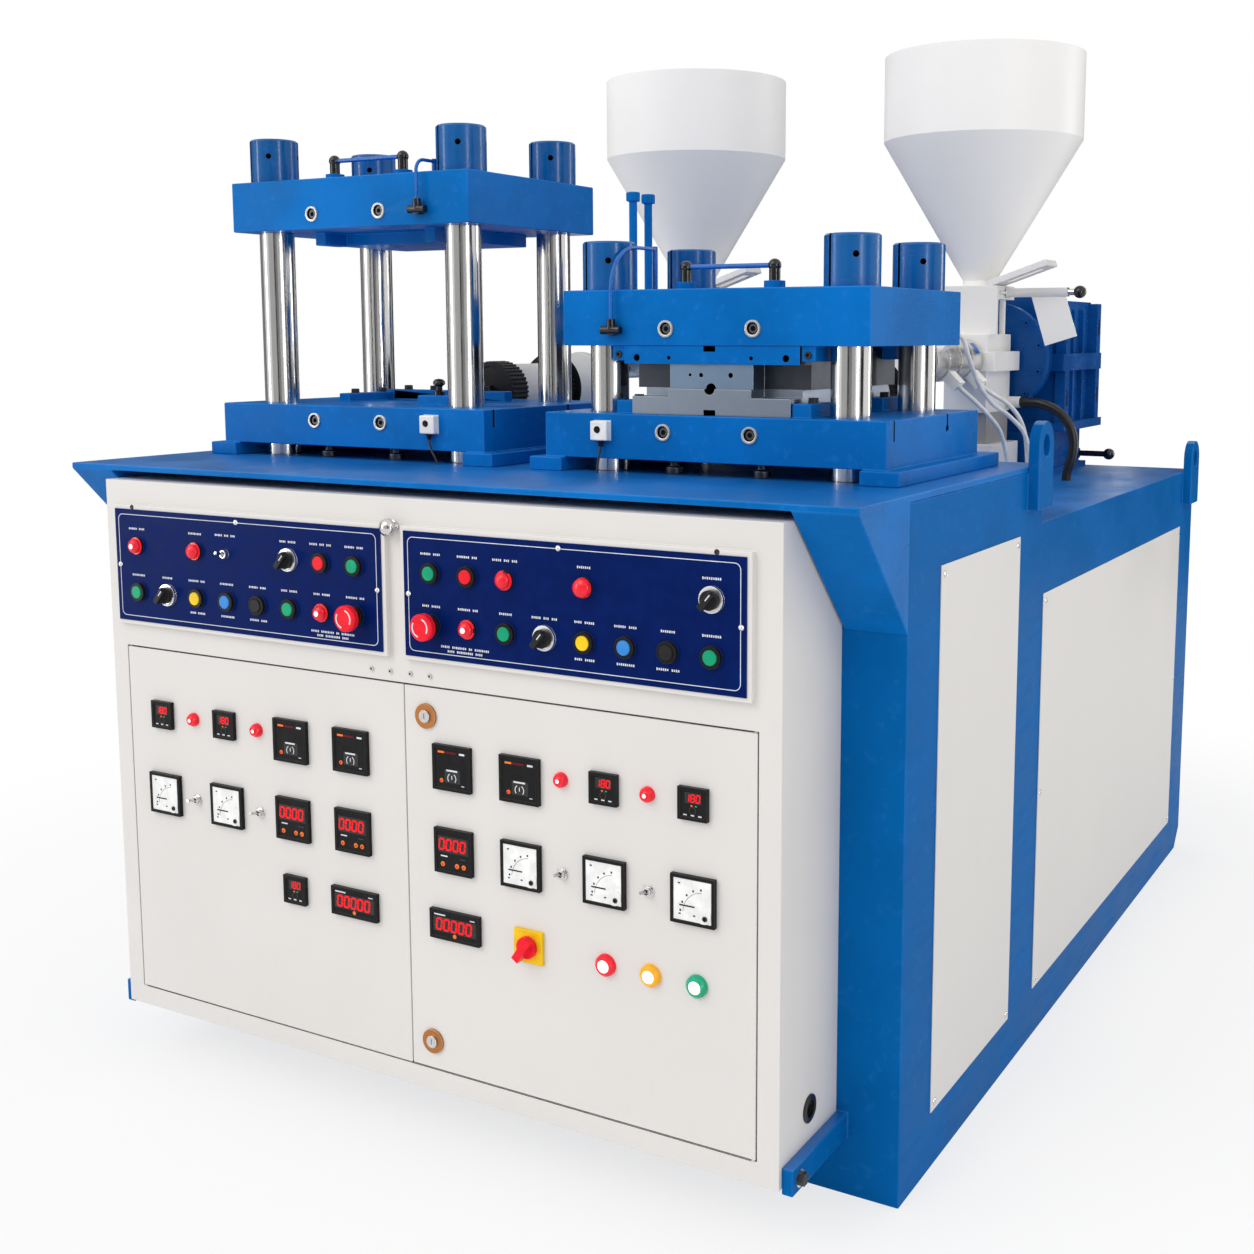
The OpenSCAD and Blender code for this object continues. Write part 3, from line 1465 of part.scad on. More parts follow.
// A housing split at the screw axis, with flanges and corner ribs
module gear_housing(s) {
    x = station_x(s);
    rib_w = 34;
    out = gear_flange_out;
    top = screw_z + gear_rise;
    split_z = screw_z - 30;
    block(x, housing_d, pedestal_top - over, [gear_w, gear_depth, top - pedestal_top + over]);
    block(x, housing_d - out, split_z, [gear_w + 2 * out, gear_depth + 2 * out, 2 * gear_flange_t]);
    block(x, housing_d - out, pedestal_top, [gear_w + 2.4 * out, gear_depth + 2 * out, gear_flange_t]);
    block(x, housing_d + gear_depth * 0.2, top - over,
          [gear_w * 0.6, gear_depth * 0.5, gear_flange_t / 2 + over]);
    for (i = [-1, 1], d = [housing_d - 8, housing_d + gear_depth - rib_w + 8])
        block(x + i * (gear_w + out) / 2, d, pedestal_top, [out + over, rib_w, top - pedestal_top - 4]);
    for (i = [-1, 1], j = [0.36, 0.64])
        block(x + i * (gear_w + out / 2) / 2, housing_d + gear_depth * j - 6, pedestal_top,
              [out / 2 + over, 12, top - pedestal_top - 20]);
}

module pedestal(s) {
    lever_len = 96;
    lever_z = deck_h + 38;
    x = station_x(s);
    pedestal_w = gear_w - 30;
    block(x, pedestal_d, deck_h, [pedestal_w, gear_depth + bell_len, pedestal_h]);
    block(x, pedestal_d - 10, deck_h, [pedestal_w + 30, gear_depth + bell_len + 20, 14]);
    translate([x + pedestal_w / 2 - over, back(pedestal_d + gear_depth), lever_z]) rotate([0, 90, 0]) {
        cylinder(r = rod_r + 6, h = 22);
        cylinder(r = rod_r, h = lever_len);
        translate([0, 0, lever_len]) sphere(r = knob_r);
    }
}

module barrel_stands() {
    color("gray")
        for (s = [-1, 1]) {
            block(station_x(s), hopper_d - plinth[1] / 2, deck_h, plinth);
            block(station_x(s), hopper_d - stand[1] / 2, deck_h + plinth[2] - over,
                  [stand[0], stand[1], feed_foot - deck_h - plinth[2] + over]);
        }
}

// Oil tank with its pump set, and the two clamp cylinders under the bed
module hydraulics() {
    motor_r = 90;
    motor_len = 260;
    motor_x = -200;
    motor_d = tank_front_d + 200;
    pump_len = 120;
    mount = [420, 160, 20];
    neck_plate = [200, 200, 20];
    tank_top = bearer_h + tank_h;
    motor_z = tank_top + mount[2] + motor_r;
    color(dark) {
        block(0, tank_front_d, bearer_h, [tank_w, tank_depth, tank_h]);
        block(0, motor_d - mount[1] / 2, tank_top, mount);
        translate([motor_x, back(motor_d), motor_z]) rotate([0, 90, 0]) {
            cylinder(r = motor_r, h = motor_len);
            cylinder(r = motor_r / 2, h = motor_len + pump_len);
        }
        for (s = [-1, 1])
            translate([station_x(s), back(press_d), cylinder_foot]) difference() {
                union() {
                    cylinder(r = cylinder_r, h = cylinder_len);
                    translate([-neck_plate[0] / 2, -neck_plate[1] / 2, cylinder_len - neck_plate[2]])
                        cube(neck_plate);
                }
                translate([0, 0, head_t]) cylinder(r = piston_r, h = cylinder_len - 2 * head_t);
                translate([0, 0, -over]) cylinder(r = ram_r + run_fit, h = head_t + 2 * over);
            }
    }
}

// Leads and hose

module leads_and_hoses() {
    sensor_d = press_d - lower_depth / 2 - sensor_t / 2;
    color(white) {
        for (s = [-1, 1], r = LEAD_ROUTES)
            translate([station_x(s), 0, deck_h]) tube(r, lead_d, 8, 3, lead_way(r));
        for (i = [0, 1])
            translate([sensor_place(2 * i - 1), back(sensor_d), lower_port_z - sensor_w / 2])
                tube(SENSOR_ROUTES[i], sensor_lead_d, 6, 3, down);
    }
    color("black")
        for (s = [-1, 1])
            translate([station_x(s), 0, deck_h]) tube(HOSE_ROUTE, hose_d, 10, 2, to_right);
}

base_frame();
bed_plate();
side_covers();
cabinet_shell();
panel_plates();
lower_platens();
lower_mould();
hydraulics();
barrels();
feed_throats();
hopper(-1);  // left_hopper
hopper(1);  // right_hopper
gearboxes();
barrel_stands();
leads_and_hoses();
upper_platen(-1);  // left_upper_platen
pillars(-1);  // left_pillars
pillar_nuts(-1);  // left_pillar_nuts
platen_fittings(-1);  // left_platen_fittings
upper_platen(1);  // right_upper_platen
pillars(1);  // right_pillars
pillar_nuts(1);  // right_pillar_nuts
platen_fittings(1);  // right_platen_fittings
upper_mould();
door(0);  // left_door
door(1);  // right_door
door_instruments(0);  // left_door_instruments
door_instruments(1);  // right_door_instruments
screw(-1);  // left_screw
screw(1);  // right_screw
hopper_gate(-1);  // left_hopper_gate
hopper_gate(1);  // right_hopper_gate
toggle_lever(lamp_at(panel_toggle));
main_switch();
for (c = BUTTONS)
    push_button(c);
for (c = STOPS)
    emergency_stop(c);
for (c = SELECTORS)
    selector(c);
for (t = TOGGLES)
    toggle_lever(on_door(t[1], t[2], toggle_z));
for (l = LOCKS)
    door_lock(l);
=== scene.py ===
"""Looks of the two-station moulding machine: finishes, small parts, cords, stage and camera."""

import json
import math

import bmesh
import bpy
from bpy.props import FloatProperty, FloatVectorProperty, PointerProperty
from mathutils import Matrix, Vector
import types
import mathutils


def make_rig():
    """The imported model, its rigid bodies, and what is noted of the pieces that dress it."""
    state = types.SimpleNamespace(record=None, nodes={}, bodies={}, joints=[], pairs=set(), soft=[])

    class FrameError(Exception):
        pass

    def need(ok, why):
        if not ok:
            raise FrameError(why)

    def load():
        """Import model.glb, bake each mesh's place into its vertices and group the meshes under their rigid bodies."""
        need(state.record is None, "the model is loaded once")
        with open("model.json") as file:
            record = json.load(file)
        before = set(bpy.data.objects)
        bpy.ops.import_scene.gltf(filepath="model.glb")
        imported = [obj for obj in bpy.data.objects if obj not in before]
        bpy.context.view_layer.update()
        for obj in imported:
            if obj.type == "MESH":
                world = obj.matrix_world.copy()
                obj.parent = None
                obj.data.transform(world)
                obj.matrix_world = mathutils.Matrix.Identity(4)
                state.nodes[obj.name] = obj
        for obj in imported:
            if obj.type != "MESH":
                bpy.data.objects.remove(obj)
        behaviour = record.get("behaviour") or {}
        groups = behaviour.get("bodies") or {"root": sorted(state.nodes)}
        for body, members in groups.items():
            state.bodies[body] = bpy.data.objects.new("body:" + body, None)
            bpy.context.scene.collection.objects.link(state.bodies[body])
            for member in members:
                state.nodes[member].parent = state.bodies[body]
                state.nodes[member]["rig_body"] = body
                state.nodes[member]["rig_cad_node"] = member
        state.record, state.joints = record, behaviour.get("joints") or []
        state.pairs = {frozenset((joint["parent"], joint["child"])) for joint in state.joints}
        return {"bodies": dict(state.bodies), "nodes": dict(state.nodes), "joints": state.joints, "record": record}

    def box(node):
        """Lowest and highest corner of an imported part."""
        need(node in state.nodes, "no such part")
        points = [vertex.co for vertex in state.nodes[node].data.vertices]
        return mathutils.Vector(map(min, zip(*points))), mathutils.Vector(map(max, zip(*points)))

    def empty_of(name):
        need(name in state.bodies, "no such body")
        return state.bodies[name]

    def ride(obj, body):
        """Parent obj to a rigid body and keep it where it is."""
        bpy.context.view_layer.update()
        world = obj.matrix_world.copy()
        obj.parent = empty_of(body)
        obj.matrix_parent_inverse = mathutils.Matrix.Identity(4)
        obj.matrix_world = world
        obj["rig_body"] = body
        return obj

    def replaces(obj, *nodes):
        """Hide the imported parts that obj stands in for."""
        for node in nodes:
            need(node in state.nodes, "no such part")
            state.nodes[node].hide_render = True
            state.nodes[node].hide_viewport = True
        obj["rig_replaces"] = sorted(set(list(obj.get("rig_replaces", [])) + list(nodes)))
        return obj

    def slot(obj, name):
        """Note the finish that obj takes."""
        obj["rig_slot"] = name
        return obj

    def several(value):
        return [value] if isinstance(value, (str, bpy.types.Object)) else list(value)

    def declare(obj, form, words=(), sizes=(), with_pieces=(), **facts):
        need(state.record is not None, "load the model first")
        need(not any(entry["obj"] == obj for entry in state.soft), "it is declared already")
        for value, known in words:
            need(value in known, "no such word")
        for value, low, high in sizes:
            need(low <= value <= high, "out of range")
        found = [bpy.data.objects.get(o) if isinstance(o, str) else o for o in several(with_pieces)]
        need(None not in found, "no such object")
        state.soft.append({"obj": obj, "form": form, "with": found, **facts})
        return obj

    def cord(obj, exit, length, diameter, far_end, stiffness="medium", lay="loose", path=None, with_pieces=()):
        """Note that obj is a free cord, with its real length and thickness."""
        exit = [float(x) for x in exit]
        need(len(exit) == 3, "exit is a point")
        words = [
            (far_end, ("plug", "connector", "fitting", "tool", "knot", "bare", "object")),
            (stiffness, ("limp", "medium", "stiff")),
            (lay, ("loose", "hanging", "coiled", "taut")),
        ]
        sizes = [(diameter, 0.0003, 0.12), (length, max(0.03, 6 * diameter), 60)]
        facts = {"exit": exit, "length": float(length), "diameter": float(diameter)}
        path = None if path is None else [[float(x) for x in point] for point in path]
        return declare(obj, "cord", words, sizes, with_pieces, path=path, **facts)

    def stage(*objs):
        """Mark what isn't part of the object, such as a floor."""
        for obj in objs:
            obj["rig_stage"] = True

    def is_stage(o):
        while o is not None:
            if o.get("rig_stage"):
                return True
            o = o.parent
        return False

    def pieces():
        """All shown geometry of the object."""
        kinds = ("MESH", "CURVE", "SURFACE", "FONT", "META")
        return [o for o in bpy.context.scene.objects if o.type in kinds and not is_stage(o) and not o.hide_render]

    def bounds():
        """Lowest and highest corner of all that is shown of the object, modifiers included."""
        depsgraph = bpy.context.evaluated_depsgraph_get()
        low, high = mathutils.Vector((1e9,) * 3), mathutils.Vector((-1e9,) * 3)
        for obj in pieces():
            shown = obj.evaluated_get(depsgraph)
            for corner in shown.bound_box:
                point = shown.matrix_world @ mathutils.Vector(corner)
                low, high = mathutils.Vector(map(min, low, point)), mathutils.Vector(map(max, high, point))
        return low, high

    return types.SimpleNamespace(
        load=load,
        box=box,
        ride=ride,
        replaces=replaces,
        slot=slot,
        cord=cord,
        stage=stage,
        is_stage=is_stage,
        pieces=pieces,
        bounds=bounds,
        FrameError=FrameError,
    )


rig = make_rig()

bl_info = {
    "name": "Two-station moulding machine",
    "version": (1, 0, 0),
    "blender": (4, 5, 0),
    "location": "3D View > Sidebar > Machine",
    "description": "Finishes and small parts of a two-station moulding machine",
    "category": "Object",
}

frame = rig.load()
CAD_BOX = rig.bounds()

# Places shared with the part's source, in metres
STATION_X = {"left": -0.371, "right": 0.371}
PRESS_Y = -0.53475
CABINET_Y = -1.04175
TRAY_Y = -1.05175
PLATE_Y = -1.05375
PANEL_X = (-0.326, 0.311)
COLUMN_PITCH = 0.0694
ROW_Z = (0.860, 0.940)
BED_TOP = 1.074
DECK_TOP = 0.968
SCREW_Z = 1.245
SHOT_Z = 1.185
HOPPER_Y = 0.55825
DOOR_X = {"left": -0.3096, "right": 0.3096}
UPPER_FOOT = {"left": 1.489, "right": 1.281}
UPPER_TOP = {"left": 1.579, "right": 1.371}
UPPER_FRONT = -0.73075
LOWER_FRONT = -0.74025
PILLAR_ACROSS = 0.2195
PILLAR_Y = (-0.67425, -0.39525)
PORT_ACROSS = 0.078
LOWER_PORT_Z = 1.143
UPPER_PORT_RISE = 0.027
FOOT_ACROSS = 0.080
FOOT_TOP = 1.0965
LOWER_HALF_WIDTH = 0.307
LOWER_FOOT = 1.12
GREY_PILLAR_TOP = 0.66
MOULD_FRONT = PRESS_Y - 0.194
MOULD_SLOT_HALF = 0.0106
LOWER_SLOT_TOP = 1.1812
UPPER_SLOT_FOOT = 1.2705
BLUE_MOULD_FOOT = 1.2515
BORE_Z = 1.213
BORE_RADIUS = 0.0092
STAND_FOOT_TOP = 1.0545
GATE_BAR_X = 0.2055
GATE_KNOB_X = 0.2185
BAND_LABEL_Y = 0.419
PLUG_BOX_Y = (0.175, 0.47)
BAND_RADIUS = 0.047
FLANGE_FRONT = 0.66325
FLANGE_BOLT_CIRCLE = 0.116
RIB_SIDE = 0.1495
RIB_POCKET_Y = (0.7733, 1.0453)
RIB_POCKET_Z = (1.150, 1.318)
LEVER_TOP = 1.03
LOCK_X = 0.0436
LOCK_Z = (0.713, 0.183)
SWITCH_PLATE = ((0.20, -1.06, 0.350), (0.262, -1.0411, 0.408))
CARRIER_BOLT = (0.6735, -1.012, 0.112)
# Side covers: front edge, rear edge and top, over one foot
COVERS = ((-0.71775, -0.33375, 0.958), (-0.18775, 0.94425, 0.838))
COVER_FOOT = 0.095
COVER_INSET = 0.014
# Sections of the shot units: front, rear, finish
SHOT_SECTIONS = (
    (-0.3205, -0.2575, "black_plastic"),
    (-0.2575, -0.1072, "grey_jacket"),
    (-0.1072, -0.0865, "black_plastic"),
    (-0.0865, 0.0332, "grey_jacket"),
)

FRONT = (0, -1, 0)
BACK = (0, 1, 0)
UP = (0, 0, 1)
DOWN = (0, 0, -1)
RIGHT = (1, 0, 0)
LEFT = (-1, 0, 0)

# Fixed panel lamps: panel, column, row and whether the lamp is lit in the middle
PANEL_LAMPS = (
    (0, 0, 1, True),
    (0, 2, 1, False),
    (0, 6, 0, True),
    (1, 1, 0, True),
    (1, 2, 1, False),
    (1, 4, 1, False),
)
# Door lamps: radius, place across the door, height, colour
DOOR_LAMPS = {
    "left": ((0.011, -0.153, 0.645, "red_lens"), (0.011, -0.006, 0.645, "red_lens")),
    "right": (
        (0.011, -0.015, 0.647, "red_lens"),
        (0.011, 0.134, 0.647, "red_lens"),
        (0.016, 0.061, 0.377, "red_lens"),
        (0.016, 0.138, 0.377, "amber_lens"),
        (0.016, 0.215, 0.377, "green_lens"),
    ),
}
# Door toggles: places across each door, and their height
TOGGLES = {"left": (-0.153, -0.006), "right": (-0.015, 0.134)}
TOGGLE_Z = 0.503
# Door instruments: kind, place across the door, height
INSTRUMENTS = {
    "left": (
        ("controller", -0.226, 0.645),
        ("controller", -0.079, 0.645),
        ("timer", 0.071, 0.637),
        ("timer", 0.200, 0.637),
        ("ammeter", -0.226, 0.504),
        ("ammeter", -0.079, 0.504),
        ("meter", 0.071, 0.504),
        ("meter", 0.200, 0.504),
        ("controller", 0.071, 0.383),
        ("counter", 0.200, 0.383),
    ),
    "right": (
        ("timer", -0.215, 0.637),
        ("timer", -0.088, 0.637),
        ("controller", 0.061, 0.645),
        ("controller", 0.210, 0.645),
        ("meter", -0.215, 0.504),
        ("ammeter", -0.088, 0.504),
        ("ammeter", 0.061, 0.504),
        ("ammeter", 0.210, 0.504),
        ("counter", -0.215, 0.383),
    ),
}
# Routes of the heater leads and the cooling hose, in mm from the station, the middle of the
# machine and the deck, and of the sensor leads from under their boxes, as in the part's source
LEAD_ROUTES = (
    ((55, 280, 222), (65, 282, 212), (83, 304, 190), (95, 350, 162), (100, 414, 128),
     (100, 458, 90), (99, 484, 46), (99, 490, 0)),
    ((55, 426, 222), (65, 427, 212), (85, 444, 196), (103, 472, 178), (117, 506, 148),
     (123, 536, 108), (125, 550, 56), (125, 554, 0)),
    ((60, 207, 327), (70, 210, 333), (81, 226, 322), (85, 262, 276), (89, 312, 226),
     (99, 372, 184), (115, 440, 154), (135, 490, 114), (143, 512, 58), (143, 516, 0)),
)
SENSOR_ROUTES = {
    "left": ((0, 0, 0), (0, 0, -10), (6, -2, -27), (16, -3, -43), (20, -3, -53)),
    "right": ((0, 0, 0), (0, 0, -10), (-1, -3, -25), (-2, -6, -41), (-2, -7, -53)),
}
HOSE_ROUTE = (
    (84, 620, 177), (104, 620, 177), (136, 620, 174), (174, 620, 157), (201, 620, 126),
    (212, 620, 87), (207, 620, 48), (199, 620, 20), (197, 620, 0),
)
SENSOR_AT = {"left": (-0.178, -0.74725, 1.127), "right": (0.178, -0.74725, 1.127)}
SENSOR_ACROSS = {"left": 0.193, "right": -0.193}
MM = 0.001
# Thickness of the panes and of the printed marks on the instruments' faces
PANE = 0.0003
PRINT = 0.0002
# Camera fitted to the photograph: place, turn in degrees, shift of the picture
CAMERA_AT = (1.5451, -2.87295, 1.2955)
CAMERA_TURN = (82.59, 0, 29.17)
CAMERA_SHIFT = (-0.0555, -0.0718)
# Lamps: place and the point they aim at
KEY_LAMP = ((-1.6, -3.4, 3.6), (0.0, -0.6, 0.9))
KEY_ANGLE = 40
FILL_LAMP = ((4.6, -1.2, 3.6), (0.4, 0.0, 0.9))
FILL_SIZE = 2.6
FLOOR_RADIUS = 30
# Studio cards round the machine: way in degrees, width, finish
CARD_DISTANCE = 4.6
CARD_HEIGHT = 2.6
CARD_MIDDLE_Z = 1.5
STUDIO_CARDS = (
    (146, 3.4, "dark_card"),
    (-176, 2.5, "grey_card"),
    (-138, 0.5, "bright_strip"),
    (-98, 2.8, "pale_card"),
    (-76, 0.7, "dark_card"),
    (-64, 1.2, "grey_card"),
    (-48, 1.2, "pale_card"),
    (-27, 0.5, "bright_strip"),
    (-5, 1.4, "dark_card"),
    (48, 0.4, "bright_strip"),
    (77, 2.4, "dark_card"),
    (108, 2.4, "dark_card"),
)


# Settings a user would change


def colour_setting(name, description, default):
    return FloatVectorProperty(
        name=name, description=description, subtype="COLOR", size=3, min=0, max=1, default=default
    )


def length_setting(name, description, default):
    return FloatProperty(name=name, description=description, unit="LENGTH", min=0, default=default)


class FinishSettings(bpy.types.PropertyGroup):
    """Colours of the machine's finishes"""

    blue: colour_setting("Blue enamel", "Paint of base, platens and nuts", (0.0020, 0.150, 0.490))
    white: colour_setting("White paint", "Paint of cabinet and covers", (0.745, 0.722, 0.698))
    hopper: colour_setting("Hopper white", "Paint of hoppers and feed", (0.950, 0.930, 0.905))
    navy: colour_setting("Panel navy", "Colour of the control panels", (0.0006, 0.0115, 0.105))
    gear: colour_setting("Gearbox blue", "Paint of the gearboxes", (0.0025, 0.078, 0.310))
    steel: colour_setting("Steel", "Bare machined steel", (0.23, 0.265, 0.32))
    chrome: colour_setting("Chrome", "Plated pillars and small parts", (0.62, 0.615, 0.605))
    black: colour_setting("Black plastic", "Fittings and frames", (0.012, 0.012, 0.013))
    floor: colour_setting("Floor", "Pale studio floor", (0.88, 0.88, 0.88))


class SizeSettings(bpy.types.PropertyGroup):
    """Sizes of the small parts that are added to the solids"""

    plate_round: length_setting("Plate edges", "Rounding of thick plates", 0.0022)
    sheet_round: length_setting("Sheet edges", "Rounding of folded sheet", 0.0012)
    small_round: length_setting("Small edges", "Rounding of small parts", 0.0006)
    ledge_round: length_setting("Ledge edges", "Rounding beside half-millimetre ledges", 0.0002)
    screw_radius: length_setting("Cover screws", "Radius of the cover screws", 0.0055)
    lead_diameter: length_setting("Heater leads", "Diameter of a heater lead", 0.010)
    sensor_lead_diameter: length_setting("Sensor leads", "Diameter of a sensor lead", 0.004)
    hose_diameter: length_setting("Hoses", "Diameter of a cooling hose", 0.022)


class StageSettings(bpy.types.PropertyGroup):
    """Lamps and lens"""

    key: FloatProperty(name="Key lamp", description="Strength of the wide main lamp", default=0.95)
    fill: FloatProperty(
        name="Fill lamp", description="Power of the side lamp", unit="POWER", default=16
    )
    ambient: FloatProperty(name="Ambient", description="Strength of the light around", default=0.84)
    lens: FloatProperty(name="Lens", description="Focal length", unit="CAMERA", default=44.21)


def finish_settings():
    return bpy.context.scene.machine_finish


def size_settings():
    return bpy.context.scene.machine_sizes


def stage_settings():
    return bpy.context.scene.machine_stage


# Node materials


class Wire:
    """A shader socket that takes Python's operators, each of which adds a Math node."""

    def __init__(self, recipe, socket):
        self.recipe = recipe
        self.socket = socket

    def joined(self, operation, first, second):
        return self.recipe.node("ShaderNodeMath", {"operation": operation}, {0: first, 1: second})

    def __add__(self, other):
        return self.joined("ADD", self, other)

    def __sub__(self, other):
        return self.joined("SUBTRACT", self, other)

    def __rsub__(self, other):
        return self.joined("SUBTRACT", other, self)

    def __mul__(self, other):
        return self.joined("MULTIPLY", self, other)

    def __truediv__(self, other):
        return self.joined("DIVIDE", self, other)

    __radd__ = __add__
    __rmul__ = __mul__


class Recipe:
    """A node tree under construction."""

    def __init__(self, tree):
        self.tree = tree
        self.tree.nodes.clear()

    def node(self, kind, settings=None, sockets=None, output=0):
        made = self.tree.nodes.new(kind)
        for key, value in (settings or {}).items():
            setattr(made, key, value)
        for key, value in (sockets or {}).items():
            if isinstance(value, Wire):
                self.tree.links.new(value.socket, made.inputs[key])
            else:
                made.inputs[key].default_value = value
        return Wire(self, made.outputs[output]) if made.outputs else None

    def mixed(self, factor, first, second):
        return self.node(
            "ShaderNodeMix", {"data_type": "RGBA"}, {0: factor, 6: first, 7: second}, output=2
        )

    def place(self, scale=(1, 1, 1)):
        spot = self.node("ShaderNodeTexCoord", output=3)
        return self.node("ShaderNodeMapping", {}, {"Vector": spot, "Scale": scale})

    def noise(self, place, scale, detail=3.0, roughness=0.55):
        return self.node(
            "ShaderNodeTexNoise",
            {},
            {"Vector": place, "Scale": scale, "Detail": detail, "Roughness": roughness},
        )

    def band(self, value, low, high):
        return self.node(
            "ShaderNodeMapRange",
            {"interpolation_type": "SMOOTHSTEP"},
            {"Value": value, "From Min": low, "From Max": high},
        )

    def edge(self):
        return self.node("ShaderNodeAttribute", {"attribute_name": "edge"}, output=2)

    def bump(self, height, strength, distance):
        sockets = {"Strength": strength, "Distance": distance, "Height": height}
        return self.node("ShaderNodeBump", {}, sockets)

    def surface(self, sockets):
        shader = self.node("ShaderNodeBsdfPrincipled", {}, sockets)
        self.node("ShaderNodeOutputMaterial", {}, {"Surface": shader})


def opaque(colour):
    return (colour[0], colour[1], colour[2], 1.0)


def scaled(colour, factor):
    return tuple(min(1.0, part * factor) for part in colour)


def lifted(colour, share):
    return tuple(part + (1 - part) * share for part in colour)


def enamel(recipe, colour, rough, gloss, mottle=0.10, edge_share=0.25):
    """Sprayed paint: faint clouds, orange peel, slight dust, and lighter edges that are partly thinner paint and
    partly a painted highlight.
    """
    place = recipe.place()
    cloud = recipe.band(recipe.noise(place, 5.0, 4), 0.35, 0.70)
    speck = recipe.band(recipe.noise(place, 60.0, 2), 0.56, 0.74)
    smear = recipe.band(recipe.noise(recipe.place((1, 1, 7)), 9.0, 3), 0.45, 0.75)
    tone = recipe.mixed(cloud, opaque(scaled(colour, 1 - mottle)), opaque(scaled(colour, 1 + mottle)))
    tone = recipe.mixed(speck * 0.25, tone, opaque(lifted(scaled(colour, 1.3), 0.02)))
    # Lighter edges: partly thinner paint, partly a painted highlight on the rounded edges.
    thin = recipe.edge() * edge_share * (0.4 + 0.6 * cloud)
    tone = recipe.mixed(thin, tone, opaque(lifted(scaled(colour, 1.6), 0.06)))
    relief = recipe.bump(recipe.noise(place, 420.0, 2), 0.35, 0.00012)
    recipe.surface(
        {
            "Base Color": tone,
            "Roughness": rough + 0.10 * cloud + 0.08 * smear,
            "Specular IOR Level": gloss,
            "Normal": relief,
        }
    )


def powder_coat(recipe, colour, rough, mottle=0.035):
    """Matt sheet-metal paint with fine grain and faint handling marks."""
    place = recipe.place()
    cloud = recipe.band(recipe.noise(place, 3.0, 4), 0.30, 0.72)
    mark = recipe.band(recipe.noise(recipe.place((1, 1, 0.3)), 26.0, 4, 0.7), 0.62, 0.80)
    tone = recipe.mixed(cloud, opaque(scaled(colour, 1 - mottle)), opaque(colour))
    tone = recipe.mixed(mark * 0.10, tone, opaque(scaled(colour, 0.80)))
    # Lighter edges: a painted highlight on the rounded edges.
    tone = recipe.mixed(recipe.edge() * 0.25, tone, opaque(lifted(colour, 0.30)))
    relief = recipe.bump(recipe.noise(place, 700.0, 2), 0.30, 0.00010)
    recipe.surface(
        {
            "Base Color": tone,
            "Roughness": rough + 0.10 * cloud + 0.10 * mark,
            "Specular IOR Level": 0.25,
            "Normal": relief,
        }
    )


def metal(recipe, colour, rough, streak=(1, 1, 1), tarnish=0.15):
    """Bare metal with machining streaks along the axis that the scale leaves long."""
    streaks = recipe.noise(recipe.place(streak), 90.0, 4, 0.65)
    stain = recipe.band(recipe.noise(recipe.place(), 14.0, 4), 0.40, 0.75)
    tone = recipe.mixed(stain * tarnish, opaque(colour), opaque(scaled(colour, 0.62)))
    # Lighter edges: a painted highlight on the rounded edges.
    tone = recipe.mixed(recipe.edge() * 0.4, tone, opaque(lifted(colour, 0.4)))
    relief = recipe.bump(streaks, 0.2, 0.00006)
    recipe.surface(
        {
            "Base Color": tone,
            "Metallic": 1.0,
            "Roughness": rough + 0.12 * streaks + 0.10 * stain,
            "Normal": relief,
        }
    )


def moulded(recipe, colour, rough, glow=0.0, gloss=0.15):
    """Moulded plastic or rubber with a fine grain."""
    place = recipe.place()
    cloud = recipe.band(recipe.noise(place, 40.0, 3), 0.35, 0.70)
    tone = recipe.mixed(cloud, opaque(scaled(colour, 0.90)), opaque(scaled(colour, 1.08)))
    # Lighter edges: a painted highlight on the rounded edges.
    tone = recipe.mixed(recipe.edge() * 0.3, tone, opaque(lifted(scaled(colour, 1.2), 0.05)))
    relief = recipe.bump(recipe.noise(place, 900.0, 1), 0.2, 0.00005)
    sockets = {
        "Base Color": tone,
        "Roughness": rough + 0.10 * cloud,
        "Specular IOR Level": gloss,
        "Normal": relief,
    }
    if glow:
        sockets["Emission Color"] = opaque(colour)
        sockets["Emission Strength"] = glow
    recipe.surface(sockets)


